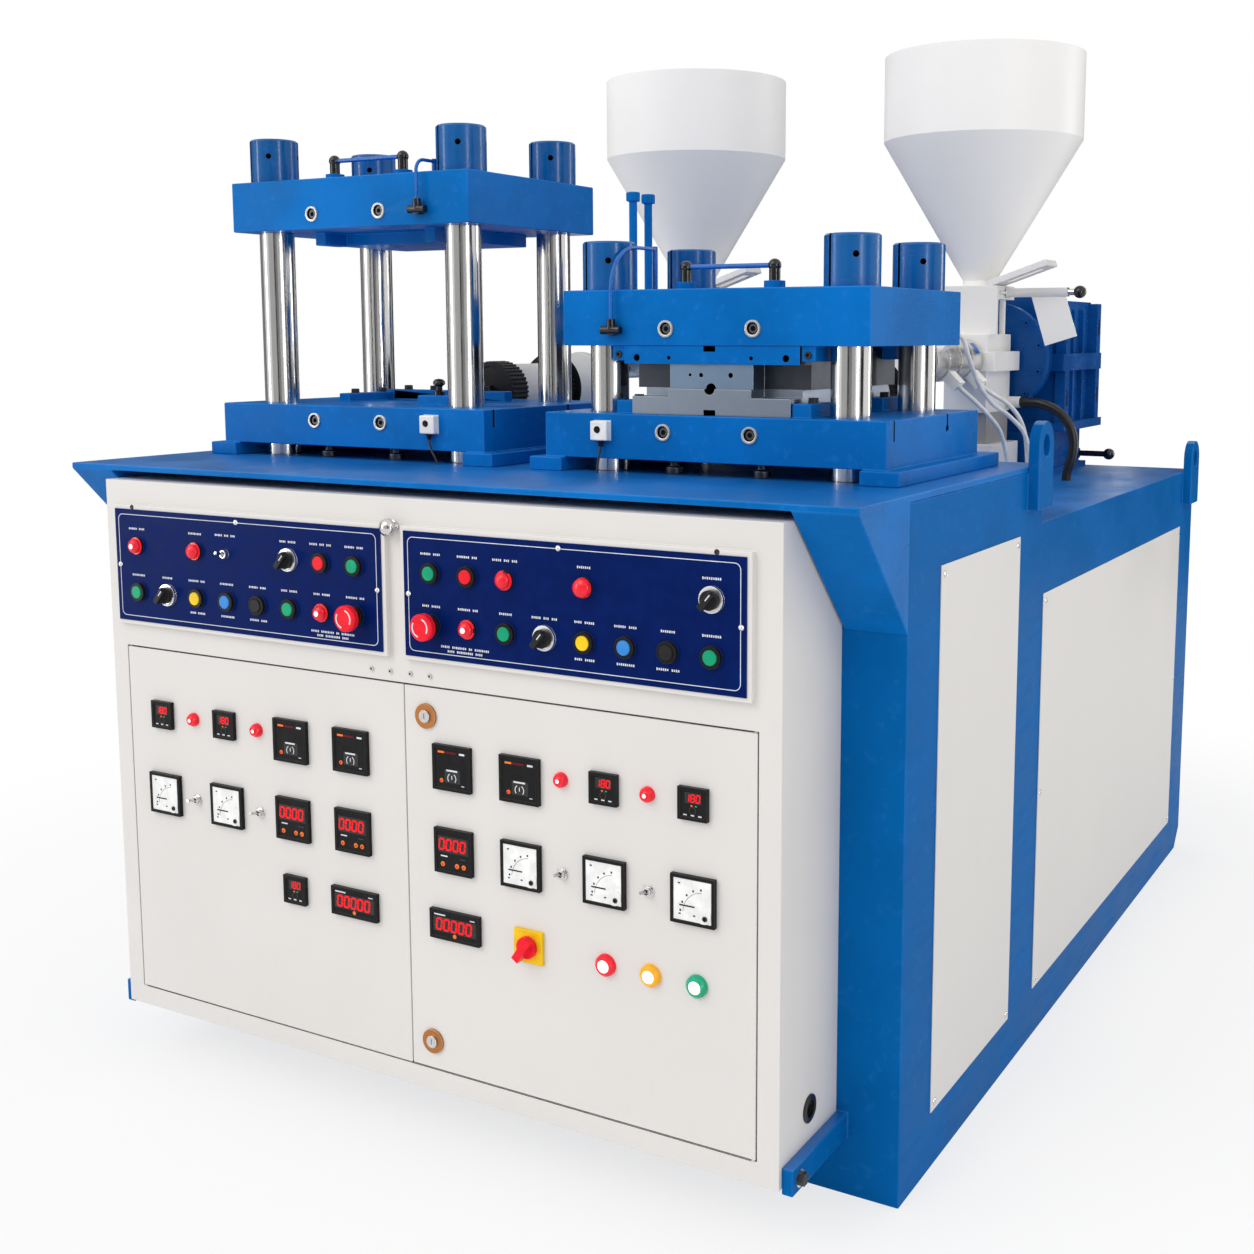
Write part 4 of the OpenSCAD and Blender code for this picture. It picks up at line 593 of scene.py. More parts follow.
def finish_recipes():
    """Every finish: the function that writes it and its values."""
    f = finish_settings()
    paints = {
        "blue_paint": (f.blue, 0.24, 0.03, 0.12),
        # A darker copy of the blue enamel: painted shade on the base frame.
        "base_blue": (scaled(f.blue, 0.80), 0.30, 0.012, 0.07),
        # Painted sheen: a glossier copy of the blue, given only to faces that point up; on the base frame it is also
        # lighter.
        "deck_blue": (scaled(f.blue, 0.95), 0.30, 0.50),
        "nut_blue": (scaled(f.blue, 0.66), 0.14, 0.30, 0.08),
        "gear_blue": (f.gear, 0.18, 0.20, 0.15, 0.06),
        "grey_jacket": ((0.58, 0.58, 0.57), 0.30, 0.4),
        "dark_paint": ((0.022, 0.022, 0.024), 0.42, 0.3),
        "grey_paint": ((0.31, 0.305, 0.295), 0.36, 0.2),
    }
    sheets = {
        "white_paint": (f.white, 0.40),
        "hopper_white": (f.hopper, 0.36),
        "feed_white": (scaled(f.hopper, 0.87), 0.34, 0.06),
    }
    metals = {
        "tool_steel": (f.steel, 0.26, (1, 1, 6), 0.35),
        "block_steel": ((0.17, 0.24, 0.33), 0.30, (6, 1, 1), 0.30),
        "heater_steel": ((0.68, 0.67, 0.65), 0.20, (1, 6, 1), 0.45),
        # Dark steel, also used as painted shade on the sides of the mould.
        "dark_steel": ((0.055, 0.060, 0.070), 0.34, (1, 1, 5), 0.3),
        "chrome": (f.chrome, 0.06, (1, 1, 0.1), 0.10),
        "bright_ring": ((0.80, 0.80, 0.79), 0.22),
        "port_ring": ((0.42, 0.42, 0.41), 0.34),
        "port_dark": ((0.09, 0.09, 0.093), 0.34),
        "copper_ring": ((0.46, 0.19, 0.060), 0.34),
    }
    plastics = {
        "navy_panel": (f.navy, 0.34, 0.0, 0.04),
        "black_plastic": (f.black, 0.26, 0.0, 0.10),
        "black_gloss": ((0.006, 0.006, 0.007), 0.14, 0.0, 0.5),
        # Near-black painted shade for the insides of holes, slots, sockets and pockets.
        "black_hole": ((0.003, 0.003, 0.003), 0.7, 0.0, 0.1),
        "rubber": ((0.010, 0.010, 0.011), 0.28, 0.0, 0.4),
        "lead_sheath": ((0.78, 0.77, 0.75), 0.42),
        "sensor_white": ((0.98, 0.94, 0.87), 0.35),
        "print_white": ((0.74, 0.76, 0.80), 0.45),
        "dial_white": ((0.88, 0.88, 0.87), 0.30, 0.0, 0.4),
        "ink_black": ((0.010, 0.010, 0.010), 0.5),
        "dim_grey": ((0.07, 0.07, 0.073), 0.4),
        "red_digit": ((0.88, 0.006, 0.012), 0.3, 0.45),
        "orange_strip": ((0.85, 0.17, 0.02), 0.4, 0.3),
        "wine_strip": ((0.14, 0.004, 0.010), 0.4),
        "orange_key": ((0.85, 0.22, 0.03), 0.35),
        "red_cap": ((0.92, 0.012, 0.028), 0.26),
        "red_lens": ((0.84, 0.008, 0.024), 0.18, 0.10, 0.4),
        "amber_lens": ((0.92, 0.42, 0.008), 0.18, 0.10, 0.4),
        "green_lens": ((0.004, 0.36, 0.19), 0.18, 0.10, 0.4),
        # Glowing white of the lit lamp middles, also used for the painted highlight glints on small lamps.
        "lit_white": ((0.95, 0.94, 0.92), 0.3, 0.8),
        "green_cap": ((0.006, 0.36, 0.18), 0.28),
        "yellow_cap": ((0.92, 0.60, 0.012), 0.28),
        "blue_cap": ((0.040, 0.25, 0.68), 0.28),
        "black_cap": ((0.018, 0.018, 0.019), 0.32),
        "yellow_plate": ((0.92, 0.58, 0.012), 0.35),
        "air_tube": ((0.004, 0.12, 0.46), 0.25, 0.0, 0.4),
        "dark_card": ((0.03, 0.03, 0.032), 0.8, 0.0, 0.0),
        "grey_card": ((0.30, 0.30, 0.31), 0.8, 0.0, 0.0),
        "pale_card": ((0.62, 0.62, 0.62), 0.8, 0.0, 0.0),
        "bright_strip": ((1.0, 1.0, 1.0), 0.8, 9.0, 0.0),
    }
    groups = ((enamel, paints), (powder_coat, sheets), (metal, metals), (moulded, plastics))
    return {name: (maker, values) for maker, group in groups for name, values in group.items()}


def finish(name):
    """A finish by name, made on its first use."""
    label = f"{name}_finish"
    ready = bpy.data.materials.get(label)
    if ready is None:
        ready = bpy.data.materials.new(label)
        ready.use_nodes = True
        maker, values = finish_recipes()[name]
        maker(Recipe(ready.node_tree), *values)
    return ready


# Shapes


class Shape:
    """A mesh under work, with the operators that this machine's pieces are made of."""

    def __init__(self):
        self.bm = bmesh.new()
        self.finishes = []
        self.edge = self.bm.faces.layers.float.new("edge")

    def slot(self, name):
        if name not in self.finishes:
            self.finishes.append(name)
        return self.finishes.index(name)

    def placed(self, verts, at, axis, name):
        turn = Vector(UP).rotation_difference(Vector(axis)).to_matrix().to_4x4()
        bmesh.ops.transform(self.bm, matrix=Matrix.Translation(at) @ turn, verts=verts)
        index = self.slot(name)
        for face in {face for vert in verts for face in vert.link_faces}:
            face.material_index = index
        return verts

    def plate(self, low, high, name):
        low, high = Vector(low), Vector(high)
        made = bmesh.ops.create_cube(self.bm, size=1)["verts"]
        bmesh.ops.scale(self.bm, vec=high - low, verts=made)
        return self.placed(made, (low + high) / 2, UP, name)

    def rod(self, at, axis, length, radius, name, sides):
        made = bmesh.ops.create_cone(
            self.bm, cap_ends=True, segments=sides, radius1=radius, radius2=radius, depth=length
        )["verts"]
        bmesh.ops.translate(self.bm, vec=(0, 0, length / 2), verts=made)
        return self.placed(made, at, axis, name)

    def turned(self, at, axis, profile, name, sides=32):
        """A body of revolution from radius and height pairs."""
        line = [self.bm.verts.new((radius, 0, height)) for radius, height in profile]
        edges = [self.bm.edges.new(pair) for pair in zip(line, line[1:])]
        bmesh.ops.spin(
            self.bm,
            geom=line + edges,
            axis=UP,
            cent=(0, 0, 0),
            angle=math.tau,
            steps=sides,
            use_merge=True,
        )
        made = self.joined(line)
        return self.placed(made, at, axis, name)

    def joined(self, seeds):
        """Every vertex linked to the seeds, doubles merged and normals facing out."""
        found, todo = set(), list(seeds)
        while todo:
            vert = todo.pop()
            if vert not in found:
                found.add(vert)
                todo.extend(edge.other_vert(vert) for edge in vert.link_edges)
        bmesh.ops.remove_doubles(self.bm, verts=list(found), dist=1e-6)
        kept = [vert for vert in found if vert.is_valid]
        faces = list({face for vert in kept for face in vert.link_faces})
        bmesh.ops.recalc_face_normals(self.bm, faces=faces)
        return kept

    def arc(self, at, axis, radius, width, height, start, sweep, name, steps=14):
        """A flat strip bent round an axis, from a start angle over a sweep in degrees."""
        corners = [
            self.bm.verts.new((r, 0, h))
            for r, h in ((radius, 0), (radius + width, 0), (radius + width, height), (radius, height))
        ]
        first = self.bm.faces.new(corners)
        begin = Matrix.Rotation(math.radians(start), 3, "Z")
        bmesh.ops.rotate(self.bm, cent=(0, 0, 0), matrix=begin, verts=corners)
        bmesh.ops.spin(
            self.bm,
            geom=corners + list(first.edges) + [first],
            axis=UP,
            cent=(0, 0, 0),
            angle=math.radians(sweep),
            steps=steps,
        )
        return self.placed(self.joined(corners), at, axis, name)

    def cap_screw(self, at, axis, radius, height, name, sides=16, socket=0.5):
        """A screw head with a socket."""
        made = bmesh.ops.create_cone(
            self.bm, cap_ends=True, segments=sides, radius1=radius, radius2=radius * 0.94, depth=height
        )["verts"]
        bmesh.ops.translate(self.bm, vec=(0, 0, height / 2), verts=made)
        top = [f for v in made for f in v.link_faces if f.normal.z > 0.9 and len(f.verts) == sides][0]
        bmesh.ops.inset_individual(self.bm, faces=[top], thickness=radius * socket, depth=0)
        bmesh.ops.inset_individual(self.bm, faces=[top], thickness=radius * 0.03, depth=-height * 0.6)
        made = self.joined(made)
        # The socket's floor is near-black painted shade.
        index = self.slot("black_hole")
        self.placed(made, at, axis, name)
        top.material_index = index
        return made

    def border(self, at, axis, width, height, radius, line, name):
        """A thin printed line round a plate, with rounded corners."""
        corners = [
            self.bm.verts.new((x * width / 2, y * height / 2, 0))
            for x, y in ((-1, -1), (1, -1), (1, 1), (-1, 1))
        ]
        sheet = self.bm.faces.new(corners)
        rounded = bmesh.ops.bevel(
            self.bm,
            geom=corners,
            affect="VERTICES",
            offset=radius,
            segments=6,
            profile=0.5,
            material=-1,
        )
        sheet = max({f for v in rounded["verts"] for f in v.link_faces}, key=lambda f: f.calc_area())
        ring = bmesh.ops.inset_individual(self.bm, faces=[sheet], thickness=line, depth=0)["faces"]
        bmesh.ops.delete(self.bm, geom=[sheet], context="FACES")
        thick = bmesh.ops.solidify(self.bm, geom=ring, thickness=-0.0003)
        verts = [v for v in thick["geom"] if isinstance(v, bmesh.types.BMVert)]
        return self.placed(self.joined(verts), at, axis, name)

    def from_node(self, node, name):
        """A merged copy of a CAD node's mesh."""
        self.bm.from_mesh(frame["nodes"][node].data)
        index = self.slot(name)
        for face in self.bm.faces:
            face.material_index = index
        bmesh.ops.remove_doubles(self.bm, verts=list(self.bm.verts), dist=2e-6)
        bmesh.ops.dissolve_limit(
            self.bm,
            angle_limit=math.radians(0.4),
            verts=list(self.bm.verts),
            edges=list(self.bm.edges),
        )
        return self

    def tint(self, name, rule):
        """Gives a finish to the faces whose centre and normal the rule takes."""
        index = self.slot(name)
        for face in self.bm.faces:
            if rule(face.calc_center_median(), face.normal):
                face.material_index = index

    def round_edges(self, width, least=32.0):
        """Rounds sharp edges, but not along narrow ledges, and marks the new faces for the lighter edges of the
        finishes, which are a painted highlight, in the enamel partly thinner paint.
        """
        sharp = [
            edge
            for edge in self.bm.edges
            if len(edge.link_faces) == 2
            and edge.calc_face_angle(0) > math.radians(least)
            and min(face.calc_area() for face in edge.link_faces) > 2 * width * edge.calc_length()
        ]
        made = bmesh.ops.bevel(
            self.bm,
            geom=sharp,
            affect="EDGES",
            offset=width,
            offset_type="OFFSET",
            segments=2,
            profile=0.5,
            material=-1,
            clamp_overlap=False,
        )
        for face in made["faces"]:
            face[self.edge] = 1.0

    def done(self, name, body, record_slot, replaces=()):
        """The finished piece, at the origin, riding on its body."""
        mesh = bpy.data.meshes.new(name)
        self.bm.to_mesh(mesh)
        self.bm.free()
        mesh.polygons.foreach_set("use_smooth", [True] * len(mesh.polygons))
        mesh.set_sharp_from_angle(angle=math.radians(50))
        for part in self.finishes:
            mesh.materials.append(finish(part))
        piece = linked(name, mesh)
        weigh = piece.modifiers.new("even_shading", "WEIGHTED_NORMAL")
        weigh.keep_sharp = True
        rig.ride(piece, body)
        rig.slot(piece, record_slot)
        if replaces:
            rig.replaces(piece, *replaces)
        return piece


def linked(name, data):
    """A new object of the scene."""
    made = bpy.data.objects.new(name, data)
    bpy.context.scene.collection.objects.link(made)
    return made


def near(point, spots, radius):
    """Whether a point, seen from the front, lies within a radius of one of the spots."""
    return any(math.hypot(point.x - x, point.z - z) < radius for x, z in spots)


def inside(point, low, high):
    return all(a <= p <= b for a, p, b in zip(low, point, high))


def nearest_station(point):
    return min(STATION_X.values(), key=lambda x: abs(x - point.x))


def panel_spot(panel, column, row):
    return Vector((PANEL_X[panel] + (column - 3.5) * COLUMN_PITCH, PLATE_Y, ROW_Z[row]))


def door_spot(side, across, height):
    return Vector((DOOR_X[side] + across, CABINET_Y, height))


def dressed(node, body, record_slot, name, width, tints=()):
    """A CAD node's copy with rounded edges and its finishes."""
    shape = Shape().from_node(node, name)
    for part, rule in tints:
        shape.tint(part, rule)
    if width:
        shape.round_edges(width)
    return shape.done(node + "_painted", body, record_slot, (node,))


def smooth_points(route, origin, steps=12):
    """Points of the smooth curve through a route, in metres."""
    spots = [Vector(p) * MM + Vector(origin) for p in route]
    ends = [spots[0]] + spots + [spots[-1]]
    points = []
    for a, b, c, d in zip(ends, ends[1:], ends[2:], ends[3:]):
        for k in range(steps):
            t = k / steps
            bend = (2 * a - 5 * b + 4 * c - d) * t * t + (3 * b - a - 3 * c + d) * t**3
            points.append(0.5 * (2 * b + (c - a) * t + bend))
    return points + [spots[-1]]


def path_length(points):
    return sum((b - a).length for a, b in zip(points, points[1:]))


# Operators


class MACHINE_OT_stage(bpy.types.Operator):
    """Floor, surrounding light, lamps and camera"""

    bl_idname = "machine.stage"
    bl_label = "Stage"

    def execute(self, context):
        s = stage_settings()
        scene = context.scene
        scene.view_settings.view_transform = "Standard"
        self.world(scene, s)
        self.floor()
        key = self.lamp("key_lamp", "SUN", *KEY_LAMP, s.key)
        key.angle = math.radians(KEY_ANGLE)
        fill = self.lamp("fill_lamp", "AREA", *FILL_LAMP, s.fill)
        fill.size = FILL_SIZE
        for way, width, name in STUDIO_CARDS:
            self.card(math.radians(way), width, name)
        lens = bpy.data.cameras.new("photo_camera")
        lens.sensor_width = 36
        lens.lens = s.lens
        lens.shift_x, lens.shift_y = CAMERA_SHIFT
        camera = linked("photo_camera", lens)
        camera.location = CAMERA_AT
        camera.rotation_euler = [math.radians(turn) for turn in CAMERA_TURN]
        scene.camera = camera
        return {"FINISHED"}

    def world(self, scene, s):
        world = bpy.data.worlds.new("studio")
        world.use_nodes = True
        scene.world = world
        recipe = Recipe(world.node_tree)
        seen = self.seen(recipe)
        bright = recipe.node("ShaderNodeBackground", {}, {"Color": (1, 1, 1, 1), "Strength": 1.0})
        soft = recipe.node("ShaderNodeBackground", {}, {"Color": (1, 1, 1, 1), "Strength": s.ambient})
        mixed = recipe.node("ShaderNodeMixShader", {}, {0: seen, 1: soft, 2: bright})
        recipe.node("ShaderNodeOutputWorld", {}, {"Surface": mixed})

    def seen(self, recipe):
        """1 for rays that show the background, straight or in metal and glass."""
        straight = recipe.node("ShaderNodeLightPath", output=0)
        mirrored = recipe.node("ShaderNodeLightPath", output=3)
        through = recipe.node("ShaderNodeLightPath", output=6)
        return straight + mirrored + through

    def floor(self):
        bm = bmesh.new()
        bmesh.ops.create_circle(bm, cap_ends=True, segments=96, radius=FLOOR_RADIUS)
        material = bpy.data.materials.new("studio_floor")
        material.use_nodes = True
        recipe = Recipe(material.node_tree)
        place = recipe.place()
        far = recipe.node("ShaderNodeVectorMath", {"operation": "LENGTH"}, {0: place}, output=1)
        fade = 0.7 + 0.3 * recipe.band(far, 1.3, 2.6)
        cloud = recipe.noise(place, 0.8)
        floor_colour = finish_settings().floor
        tone = recipe.mixed(cloud * 0.3, opaque(floor_colour), opaque(scaled(floor_colour, 0.97)))
        matt = recipe.node("ShaderNodeBsdfPrincipled", {}, {"Base Color": tone, "Roughness": 0.8})
        white = recipe.node("ShaderNodeEmission", {}, {"Color": (1, 1, 1, 1), "Strength": 1.0})
        shown = self.seen(recipe) * fade
        shader = recipe.node("ShaderNodeMixShader", {}, {0: shown, 1: matt, 2: white})
        recipe.node("ShaderNodeOutputMaterial", {}, {"Surface": shader})
        self.staged("floor", bm, material)

    def staged(self, name, bm, material):
        """A piece of the stage from a finished mesh."""
        mesh = bpy.data.meshes.new(name)
        bm.to_mesh(mesh)
        bm.free()
        mesh.materials.append(material)
        piece = linked(name, mesh)
        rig.stage(piece)
        return piece

    def lamp(self, name, kind, at, aim, power):
        data = bpy.data.lights.new(name, kind)
        data.energy = power
        lamp = linked(name, data)
        lamp.location = at
        lamp.rotation_euler = (Vector(aim) - Vector(at)).to_track_quat("-Z", "Y").to_euler()
        return data

    def card(self, way, width, name):
        """A tall studio card or strip that only shows in bright surfaces."""
        bm = bmesh.new()
        bmesh.ops.create_grid(bm, x_segments=1, y_segments=1, size=0.5)
        bmesh.ops.scale(bm, vec=(width, CARD_HEIGHT, 1), verts=bm.verts)
        middle = Vector((0, PRESS_Y, CARD_MIDDLE_Z))
        spot = middle + CARD_DISTANCE * Vector((math.cos(way), math.sin(way), 0))
        turn = (middle - spot).to_track_quat("Z", "Y").to_matrix().to_4x4()
        bmesh.ops.transform(bm, matrix=Matrix.Translation(spot) @ turn, verts=bm.verts)
        card = self.staged("studio_card", bm, finish(name))
        card.visible_camera = False
        card.visible_diffuse = False
        card.visible_shadow = False
        card.visible_transmission = False


class MACHINE_OT_cords(bpy.types.Operator):
    """Heater leads, sensor leads and cooling hoses"""

    bl_idname = "machine.cords"
    bl_label = "Leads and hoses"

    def execute(self, context):
        s = size_settings()
        made = []
        for side, x in STATION_X.items():
            deck, box, sensor = (x, 0, DECK_TOP), SENSOR_AT[side], SENSOR_ROUTES[side]
            rows = [
                (f"heater_lead_{i}", route, deck, s.lead_diameter, "lead_sheath", "medium")
                for i, route in enumerate(LEAD_ROUTES, 1)
            ]
            rows.append(("sensor_lead", sensor, box, s.sensor_lead_diameter, "rubber", "limp"))
            rows.append(("cooling_hose", HOSE_ROUTE, deck, s.hose_diameter, "rubber", "stiff"))
            made.extend(self.cord(f"{side}_{name}", *values) for name, *values in rows)
        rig.replaces(made[0], "leads_and_hoses")
        return {"FINISHED"}

    def cord(self, name, route, origin, diameter, sheath, stiffness):
        points = smooth_points(route, origin)
        curve = bpy.data.curves.new(name, "CURVE")
        curve.dimensions = "3D"
        curve.bevel_depth = diameter / 2
        curve.bevel_resolution = 4
        curve.use_fill_caps = True
        line = curve.splines.new("POLY")
        line.points.add(len(points) - 1)
        for spot, point in zip(line.points, points):
            spot.co = (point.x, point.y, point.z, 1)
        line.use_smooth = True
        curve.materials.append(finish(sheath))
        piece = linked(name, curve)
        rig.ride(piece, "machine")
        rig.slot(piece, "lead_sheath")
        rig.cord(
            piece,
            exit=tuple(points[0]),
            length=round(path_length(points), 4),
            diameter=diameter,
            far_end="object",
            stiffness=stiffness,
            lay="hanging",
        )
        return piece


class MACHINE_OT_base(bpy.types.Operator):
    """Welded base, bed plate, side covers and their screws"""

    bl_idname = "machine.base"
    bl_label = "Base and covers"

    def execute(self, context):
        s = size_settings()
        # Faces that point up take the painted sheen copy of the blue.
        tops = (("deck_blue", lambda p, n: n.z > 0.9),)
        # The base frame takes the darker copy of the blue, which is painted shade.
        dressed("base_frame", "machine", "blue_paint", "base_blue", s.plate_round, tops)
        dressed("bed_plate", "machine", "blue_paint", "blue_paint", s.plate_round, tops)
        dressed("side_covers", "machine", "white_paint", "white_paint", s.small_round)
        low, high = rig.box("side_covers")
        screws = Shape()
        r = s.screw_radius
        head = (
            (0, 0.0032), (r * 0.25, 0.0031), (r * 0.3, 0.0022), (r * 0.7, 0.0024), (r, 0.0008),
            (r, 0),
        )
        for side, axis in ((low.x, LEFT), (high.x, RIGHT)):
            for near_y, far_y, top in COVERS:
                heights = [COVER_FOOT + COVER_INSET, top - COVER_INSET]
                if far_y - near_y > 0.8:
                    heights.append((top + COVER_FOOT) / 2)
                for y in (near_y + COVER_INSET, far_y - COVER_INSET):
                    for z in heights:
                        screws.turned((side, y, z), axis, head, "chrome", 14)
        screws.done("cover_screws", "machine", "chrome")
        bolts = Shape()
        x, y, z = CARRIER_BOLT
        washer = 0.002
        for axis in (LEFT, RIGHT):
            bolts.rod((axis[0] * x, y, z), axis, washer, 0.013, "chrome", 24)
            bolts.rod((axis[0] * (x + washer), y, z), axis, 0.008, 0.010, "dark_paint", 6)
        bolts.done("carrier_bolts", "machine", "chrome")
        return {"FINISHED"}


class MACHINE_OT_cabinet(bpy.types.Operator):
    """Cabinet shell, doors and small fittings"""

    bl_idname = "machine.cabinet"
    bl_label = "Cabinet and doors"

    def execute(self, context):
        s = size_settings()
        dressed("cabinet_shell", "machine", "white_paint", "white_paint", s.sheet_round)
        for side in STATION_X:
            dressed(f"{side}_door", f"{side}_door", "white_paint", "white_paint", s.sheet_round)
        trim = Shape()
        knob = (
            (0, 0.024), (0.008, 0.023), (0.013, 0.019), (0.014, 0.012), (0.010, 0.007), (0.008, 0.004),
            (0.011, 0.003), (0.011, 0),
        )
        stud = ((0, 0.0004), (0.0030, 0.0005), (0.0036, 0.0011), (0.0042, 0))
        grommet = ((0.0125, -0.001), (0.0125, 0.003), (0.016, 0.0042), (0.021, 0.002), (0.021, 0))
        trim.turned((-0.013, CABINET_Y, 1.005), FRONT, knob, "chrome")
        for x in (-0.581, 0.560):
            trim.turned((x, TRAY_Y, 1.0055), FRONT, stud, "rubber", 20)
        for x in (-0.0635, -0.0255, 0.0145, 0.0525):
            trim.cap_screw((x, CABINET_Y, 0.7765), FRONT, 0.0042, 0.0025, "chrome", 12)
        trim.turned((0.6555, -0.94275, 0.180), RIGHT, grommet, "rubber")
        trim.done("cabinet_trim", "machine", "chrome")
        return {"FINISHED"}


class MACHINE_OT_panels(bpy.types.Operator):
    """Navy panel plates with bezels, lamps, border lines and screws"""

    bl_idname = "machine.panels"
    bl_label = "Control panels"

    def execute(self, context):
        s = size_settings()
        lamps = [panel_spot(p, c, r) for p, c, r, lit in PANEL_LAMPS]
        rings = self.flat(self.controls("selector", "panel_toggle"))
        lenses = self.flat(lamps)
        tints = (
            ("black_plastic", lambda p, n: self.proud(p)),
            ("bright_ring", lambda p, n: self.proud(p) and near(p, rings, 0.0195)),
            ("red_lens", lambda p, n: self.proud(p) and near(p, lenses, 0.0125)),
        )
        dressed("panel_plates", "machine", "navy_panel", "navy_panel", s.small_round, tints)
        low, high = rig.box("panel_plates")
        margin = 0.017
        wide = 2 * (PANEL_X[0] - low.x) - margin
        tall = high.z - low.z - margin
        middle = (low.z + high.z) / 2
        screw = ((0, 0.0030), (0.0022, 0.0027), (0.0040, 0.0014), (0.0046, 0))
        spark = ((0, 0.0012), (0.004, 0.0006), (0.0052, -0.0006))
        lines = Shape()
        screws = Shape()
        for x in PANEL_X:
            lines.border((x, PLATE_Y, middle), FRONT, wide, tall, 0.010, 0.0011, "print_white")
            for at in ((x - wide / 2, middle), (x + wide / 2, middle), (x - 0.010, middle + tall / 2)):
                screws.turned((at[0], PLATE_Y, at[1]), FRONT, screw, "bright_ring", 16)
        self.label_marks(lines, lamps)
        lines.done("panel_borders", "machine", "white_paint")
        screws.done("panel_screws", "machine", "chrome")
        domes = Shape()
        for panel, column, row, lit in PANEL_LAMPS:
            spot = panel_spot(panel, column, row)
            radius = 0.0145 if (panel, column) == (1, 4) else 0.0125
            self.dome(domes, spot + Vector((0, -0.0098, 0)), radius, "red_lens")
            if lit:
                domes.turned(spot + Vector((0, -0.0148, 0)), FRONT, spark, "lit_white", 20)
        domes.done("panel_lamp_domes", "machine", "red_cap")
        return {"FINISHED"}

    def controls(self, *endings):
        """Middles of the panel controls whose node names end so."""
        nodes = [n for n in frame["nodes"] if n.endswith(endings) and "door" not in n]
        return [(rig.box(node)[0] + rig.box(node)[1]) / 2 for node in nodes]

    def proud(self, point):
        """Whether a point stands out of the panel plates."""
        return point.y < PLATE_Y - 0.0004

    def flat(self, spots):
        return [(spot.x, spot.z) for spot in spots]

    def label_marks(self, shape, lamps):
        """Printed marks over the controls, under some, and in two rows near the stops."""
        counts = ((6, 4), (9,), (4, 5), (7, 3), (5, 3, 3), (7,))
        spots = lamps + self.controls("button", "stop", "selector", "panel_toggle")
        for i, spot in enumerate(spots):
            self.blocks(shape, spot.x, spot.z + 0.029, counts[i % len(counts)])
        for i, spot in enumerate(self.controls("yellow_button", "blue_button", "black_button")):
            self.blocks(shape, spot.x, spot.z - 0.0255, counts[i % 3])
        for panel, column in ((0, 6.3), (1, 0.9)):
            spot = panel_spot(panel, column, 0)
            self.blocks(shape, spot.x, spot.z - 0.0310, (5, 8, 2, 8))
            self.blocks(shape, spot.x, spot.z - 0.0375, (4, 9, 4))

    def blocks(self, shape, x, z, counts):
        """A row of plain printed blocks, in groups of the given counts."""
        gap, step, wide = 0.0042, 0.0034, 0.0021
        left = x - (sum(counts) * step + gap * (len(counts) - 1)) / 2
        for count in counts:
            for k in range(count):
                half = (0.0018, 0.0014, 0.0018, 0.0016)[k % 4]
                corner = left + k * step
                low, high = (corner, PLATE_Y - 0.0002, z - half), (corner + wide, PLATE_Y, z + half)
                shape.plate(low, high, "print_white")
            left += count * step + gap

    def dome(self, shape, at, radius, lens):
        steps = ((0, 0.0058), (0.4, 0.0052), (0.72, 0.0034), (0.92, 0.0012), (0.96, -0.001))
        shape.turned(at, FRONT, [(radius * share, height) for share, height in steps], lens)


class MACHINE_OT_controls(bpy.types.Operator):
    """Push buttons, emergency stops, selectors, toggles, main switch and locks"""

    bl_idname = "machine.controls"
    bl_label = "Controls"

    def execute(self, context):
        s = size_settings()
        caps = {
            "run": "green_cap",
            "start": "green_cap",
            "cycle": "green_cap",
            "halt": "red_cap",
            "yellow": "yellow_cap",
            "blue": "blue_cap",
            "black": "black_cap",
        }
        for node in frame["nodes"]:
            words = node.split("_")
            if words[-1] == "button":
                cap = caps[words[1]]
                dressed(node, node, cap, cap, s.small_round)
            elif words[-1] == "selector":
                self.selector(node, s)
            elif "toggle" in words:
                dressed(node, node, "chrome", "chrome", 0)
            elif words[-1] == "lock":
                dressed(node, node, "chrome", "chrome", s.small_round)
            elif words[-1] == "stop":
                self.stop(node, s)
        dressed("main_switch", "main_switch", "red_cap", "red_cap", s.small_round)
        return {"FINISHED"}

    def middle(self, node):
        low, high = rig.box(node)
        return Vector(((low.x + high.x) / 2, low.y, (low.z + high.z) / 2))

    def selector(self, node, s):
        shape = Shape().from_node(node, "black_cap")
        shape.round_edges(s.small_round)
        tip = self.middle(node)
        way = math.radians(-40)
        line = shape.plate((-0.0008, -0.0004, 0.002), (0.0008, 0.0, 0.013), "print_white")
        bmesh.ops.rotate(shape.bm, cent=(0, 0, 0), matrix=Matrix.Rotation(-way, 3, "Y"), verts=line)
        bmesh.ops.translate(shape.bm, vec=tip, verts=line)
        shape.done(node + "_knob", node, "black_cap", (node,))
        ring = Shape()
        face = Vector((tip.x, PLATE_Y - 0.005, tip.z))
        ring.arc(face, FRONT, 0.0155, 0.0022, 0.0006, 200, 150, "print_white")
        ring.done(node + "_scale", "machine", "chrome")

    def stop(self, node, s):
        shape = Shape().from_node(node, "red_cap")
        shape.round_edges(s.small_round)
        tip = self.middle(node)
        for start in (150, -30):
            shape.arc(tip, FRONT, 0.0130, 0.0022, 0.0004, start, 105, "print_white")
        shape.done(node + "_head", node, "red_cap", (node,))


